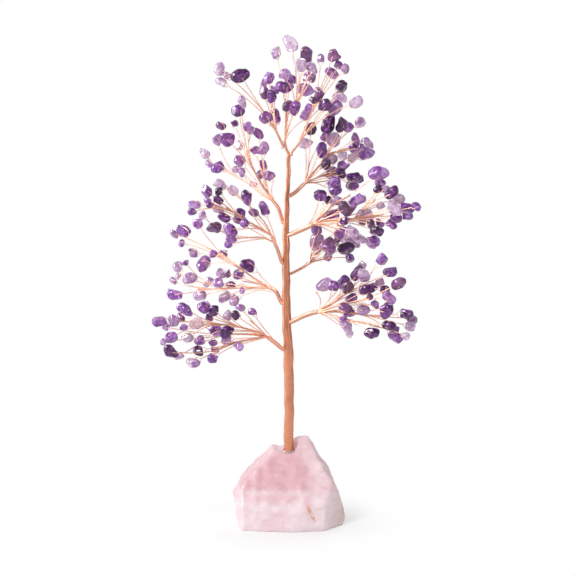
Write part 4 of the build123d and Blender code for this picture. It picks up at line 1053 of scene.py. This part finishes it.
def pebble(chip, ball, settings, seed):
    """A tumbled chip from its solid's planes: broken, rounded, with a dimple at each end of its hole, and
    how much shade is painted at each corner there.
    """
    middle, away, _, normals, offsets = chip
    around, faces, links = ball
    random = np.random.default_rng([settings.seed, seed])
    side = crosswise(away)
    spin = random.uniform(0, 2 * math.pi)
    side = side * math.cos(spin) + np.cross(away, side) * math.sin(spin)
    ways = around[:, :1] * side + around[:, 1:2] * np.cross(away, side) + around[:, 2:] * away
    reach = reach_to(offsets, ways @ normals.T).min(axis=1)
    level = 1 - around[:, 2] ** 2
    # Fuller, drawn out one way and thicker at one end
    reach = reach * (1 + 0.07 * level + random.uniform(0.1, 0.28) * (around[:, 0] ** 2 - around[:, 1] ** 2)
                     + random.uniform(-0.15, 0.15) * around[:, 0] * level)
    pointed = random.uniform() < settings.pointed_share
    for number in range(settings.breaks + settings.facets):
        cut, least = random.normal(size=3), 0.84
        if number < 2 and pointed:
            lean = math.radians(random.uniform(45, 65)) * (1 - 2 * number)
            cut, least = math.cos(lean) * side + math.sin(lean) * np.cross(away, side), 0.5
        elif number < settings.breaks:
            cut, least = cut - 0.75 * (cut @ away) * away, 0.6
        across = ways @ unit(cut)
        depth = (reach * across).max() * random.uniform(least, least / 2 + 0.55)
        reach = np.minimum(reach, reach_to(depth, across))
    for _ in range(settings.tumbling):
        reach = even_out(reach, links)
    reach = reach * (1 + 0.012 * waves(ways * 3, size=2.2, seed=seed))
    pole = np.abs(around[:, 2])
    # How much shade is painted at each corner: most in the hole, less on its dimple and rim
    hole = np.select([pole > POLE, pole > DIMPLE, pole > RIM], [1.0, 0.85, 0.2], 0.0)
    reach = reach - np.select([pole > POLE, pole > DIMPLE], [1.0, 0.55], 0.0)
    return middle + ways * reach[:, None], faces, hole


def strand_path(twig, chip, strand, limbs, lay):
    """One wire of a twig: off the limb, twisted with its twin along the arc, then through the chip."""
    start, tangent, _, neck, rise, thick, length = twig
    stone, away = chip[0], chip[1]
    away = unit(away - (away @ rise) * rise)
    chord = neck - start
    level = chord - (chord @ tangent) * tangent
    half = max(math.atan2(np.linalg.norm(level), chord @ tangent), 1e-3)
    radius, way = np.linalg.norm(chord) / (2 * math.sin(half)), unit(level)
    turns = 2 * half * np.linspace(0, 1, max(int(np.linalg.norm(chord) / 0.45), 6))[:, None]
    arc = start + radius * (np.sin(turns) * tangent + (1 - np.cos(turns)) * way)
    near = min(limbs, key=lambda limb: gap_to(start, limb)[0])
    _, foot, along = gap_to(start, near)
    lift = start - foot
    # It lies against the limb for a little way before it leaves
    cling, sink, least_step = 3.2, 0.62, 0.05
    back = [start - along * cling - lift * sink, start - along * cling / 2 - lift * 0.3, arc[0], arc[1]]
    line = np.vstack([smooth_line(np.array(back), np.zeros(4), 0.5)[0][:-3], arc])
    line = spaced(line, least_step)
    sides, ups = carried(line)
    run = run_of(line)
    final = math.atan2(away @ ups[-1], away @ sides[-1]) + strand * math.pi
    angle = final + 2 * math.pi * (run - run[-1]) / lay
    offset = np.cos(angle)[:, None] * sides + np.sin(angle)[:, None] * ups
    twisted = line + offset * WIRE * 0.5
    flip, tuck = 1 - 2 * strand, 0.12
    leg = thick / 2 + EYE_GAP + WIRE / 2 - tuck
    knee = -length / 2 + KNEE_SHARE * thick
    drop = np.linalg.norm(stone - neck)
    # Half of the eye, away from the twig's line and up from the hole
    eye = [(0.16, -drop), (0.3, -drop + 0.6), (leg * 0.93, knee), (leg, -0.2), (leg * 0.9, 0.0), (0.0, 0.0)]
    profile = rounded(eye, 0.6, 4)
    legs = stone + flip * profile[1:, :1] * away + profile[1:, 1:] * rise
    return spaced(np.vstack([twisted, legs]), 0.03)


def gap_to(point, limb):
    """How far a point lies from a run of a limb, with the nearest point of the run and its way."""
    low, high = limb[0], limb[1]
    along = unit(high - low)
    foot = low + np.clip((point - low) @ along, 0, np.linalg.norm(high - low)) * along
    return np.linalg.norm(point - foot) - limb[2] / 2, foot, along


class GEMTREE_OT_stage(bpy.types.Operator):
    """Sets up the floor, the soft light and the camera"""

    bl_idname = "gemtree.stage"
    bl_label = "Floor, Light and Camera"

    def execute(self, context):
        scene = context.scene
        mesh = bpy.data.meshes.new("floor")
        corners = [(FLOOR_HALF * x, FLOOR_HALF * y, 0) for x, y in ((-1, -1), (1, -1), (1, 1), (-1, 1))]
        mesh.from_pydata(corners, [], [(0, 1, 2, 3)])
        floor = bpy.data.objects.new("floor", mesh)
        scene.collection.objects.link(floor)
        finish = Finish(bpy.data.materials.new("floor"))
        finish.surface({"Base Color": (0.93, 0.93, 0.93, 1.0), "Roughness": 0.9, "Specular IOR Level": 0.2})
        away = finish.far_from(finish.coordinates(), (0.0, 0.0, 0.0)).step(0.0, 0.075)
        white = finish.value(0, "ShaderNodeEmission", {}, {"Color": WHITE, "Strength": 1.0})
        plain = Value(finish, finish.shader.outputs[0])
        finish.show("ShaderNodeOutputMaterial", finish.seen() * away, plain, white)
        mesh.materials.append(finish.owner)

        scene.world = bpy.data.worlds.new("studio")
        studio = Finish(scene.world)
        side = studio.axis(studio.value("Generated", "ShaderNodeTexCoord"), "X")
        soft = studio.value(0, "ShaderNodeBackground", {}, {
            "Color": (1.0, 0.99, 0.98, 1.0), "Strength": 0.68 - side.step(-0.7, 0.75) * 0.34})
        plain = studio.value(0, "ShaderNodeBackground", {}, {"Color": WHITE, "Strength": 1.0})
        studio.show("ShaderNodeOutputWorld", studio.seen(), soft, plain)

        for name, (where, wide, tall, power, lights) in lamps.items():
            lamp = bpy.data.lights.new(name, "AREA")
            lamp.shape, lamp.size, lamp.size_y, lamp.energy = "RECTANGLE", wide, tall, power
            light = bpy.data.objects.new(name, lamp)
            light.location, light.visible_diffuse = where, lights
            light.rotation_mode = "QUATERNION"
            light.rotation_quaternion = (Vector(where) - Vector(LAMP_AIM)).to_track_quat("Z", "Y")
            scene.collection.objects.link(light)

        eye = bpy.data.cameras.new("camera")
        eye.lens, eye.sensor_width = 85.0, 36.0
        eye.clip_start, eye.clip_end = 0.01, 50.0
        camera = bpy.data.objects.new("camera", eye)
        scene.collection.objects.link(camera)
        tilt = math.radians(CAMERA_TILT)
        away = Vector((0.0, -math.cos(tilt), math.sin(tilt)))
        camera.location = Vector(CAMERA_TARGET) + away * CAMERA_DISTANCE
        camera.rotation_mode = "QUATERNION"
        camera.rotation_quaternion = away.to_track_quat("Z", "Y")
        scene.camera = camera
        scene.view_settings.view_transform = "Standard"
        return {"FINISHED"}


class GEMTREE_PT_panel(bpy.types.Panel):
    """The tree's pieces, in the order in which they are built"""

    bl_idname = "GEMTREE_PT_panel"
    bl_label = "Gemstone Tree"
    bl_space_type = "VIEW_3D"
    bl_region_type = "UI"
    bl_category = "Gem Tree"

    def draw(self, context):
        for settings in (context.scene.gemtree_base, context.scene.gemtree_wire, context.scene.gemtree_gems):
            box = self.layout.box()
            for key in settings.bl_rna.properties.keys():
                if key not in ("rna_type", "name"):
                    box.prop(settings, key)
        for operator in operators:
            self.layout.operator(operator.bl_idname)


operators = [
    GEMTREE_OT_base_stone, GEMTREE_OT_base_glue, GEMTREE_OT_trunk, GEMTREE_OT_branches, GEMTREE_OT_leaves,
    GEMTREE_OT_stage,
]
groups = {"gemtree_base": BaseSettings, "gemtree_wire": WireSettings, "gemtree_gems": GemSettings}


def register():
    for item in [*groups.values(), *operators, GEMTREE_PT_panel]:
        bpy.utils.register_class(item)
    for name, group in groups.items():
        setattr(bpy.types.Scene, name, PointerProperty(type=group))


def unregister():
    for name in groups:
        delattr(bpy.types.Scene, name)
    for item in reversed([*groups.values(), *operators, GEMTREE_PT_panel]):
        bpy.utils.unregister_class(item)


def main():
    register()
    bpy.ops.gemtree.base_stone()
    bpy.ops.gemtree.base_glue()
    bpy.ops.gemtree.trunk()
    bpy.ops.gemtree.branches()
    bpy.ops.gemtree.leaves()
    bpy.ops.gemtree.stage()


if __name__ == "__main__":
    main()
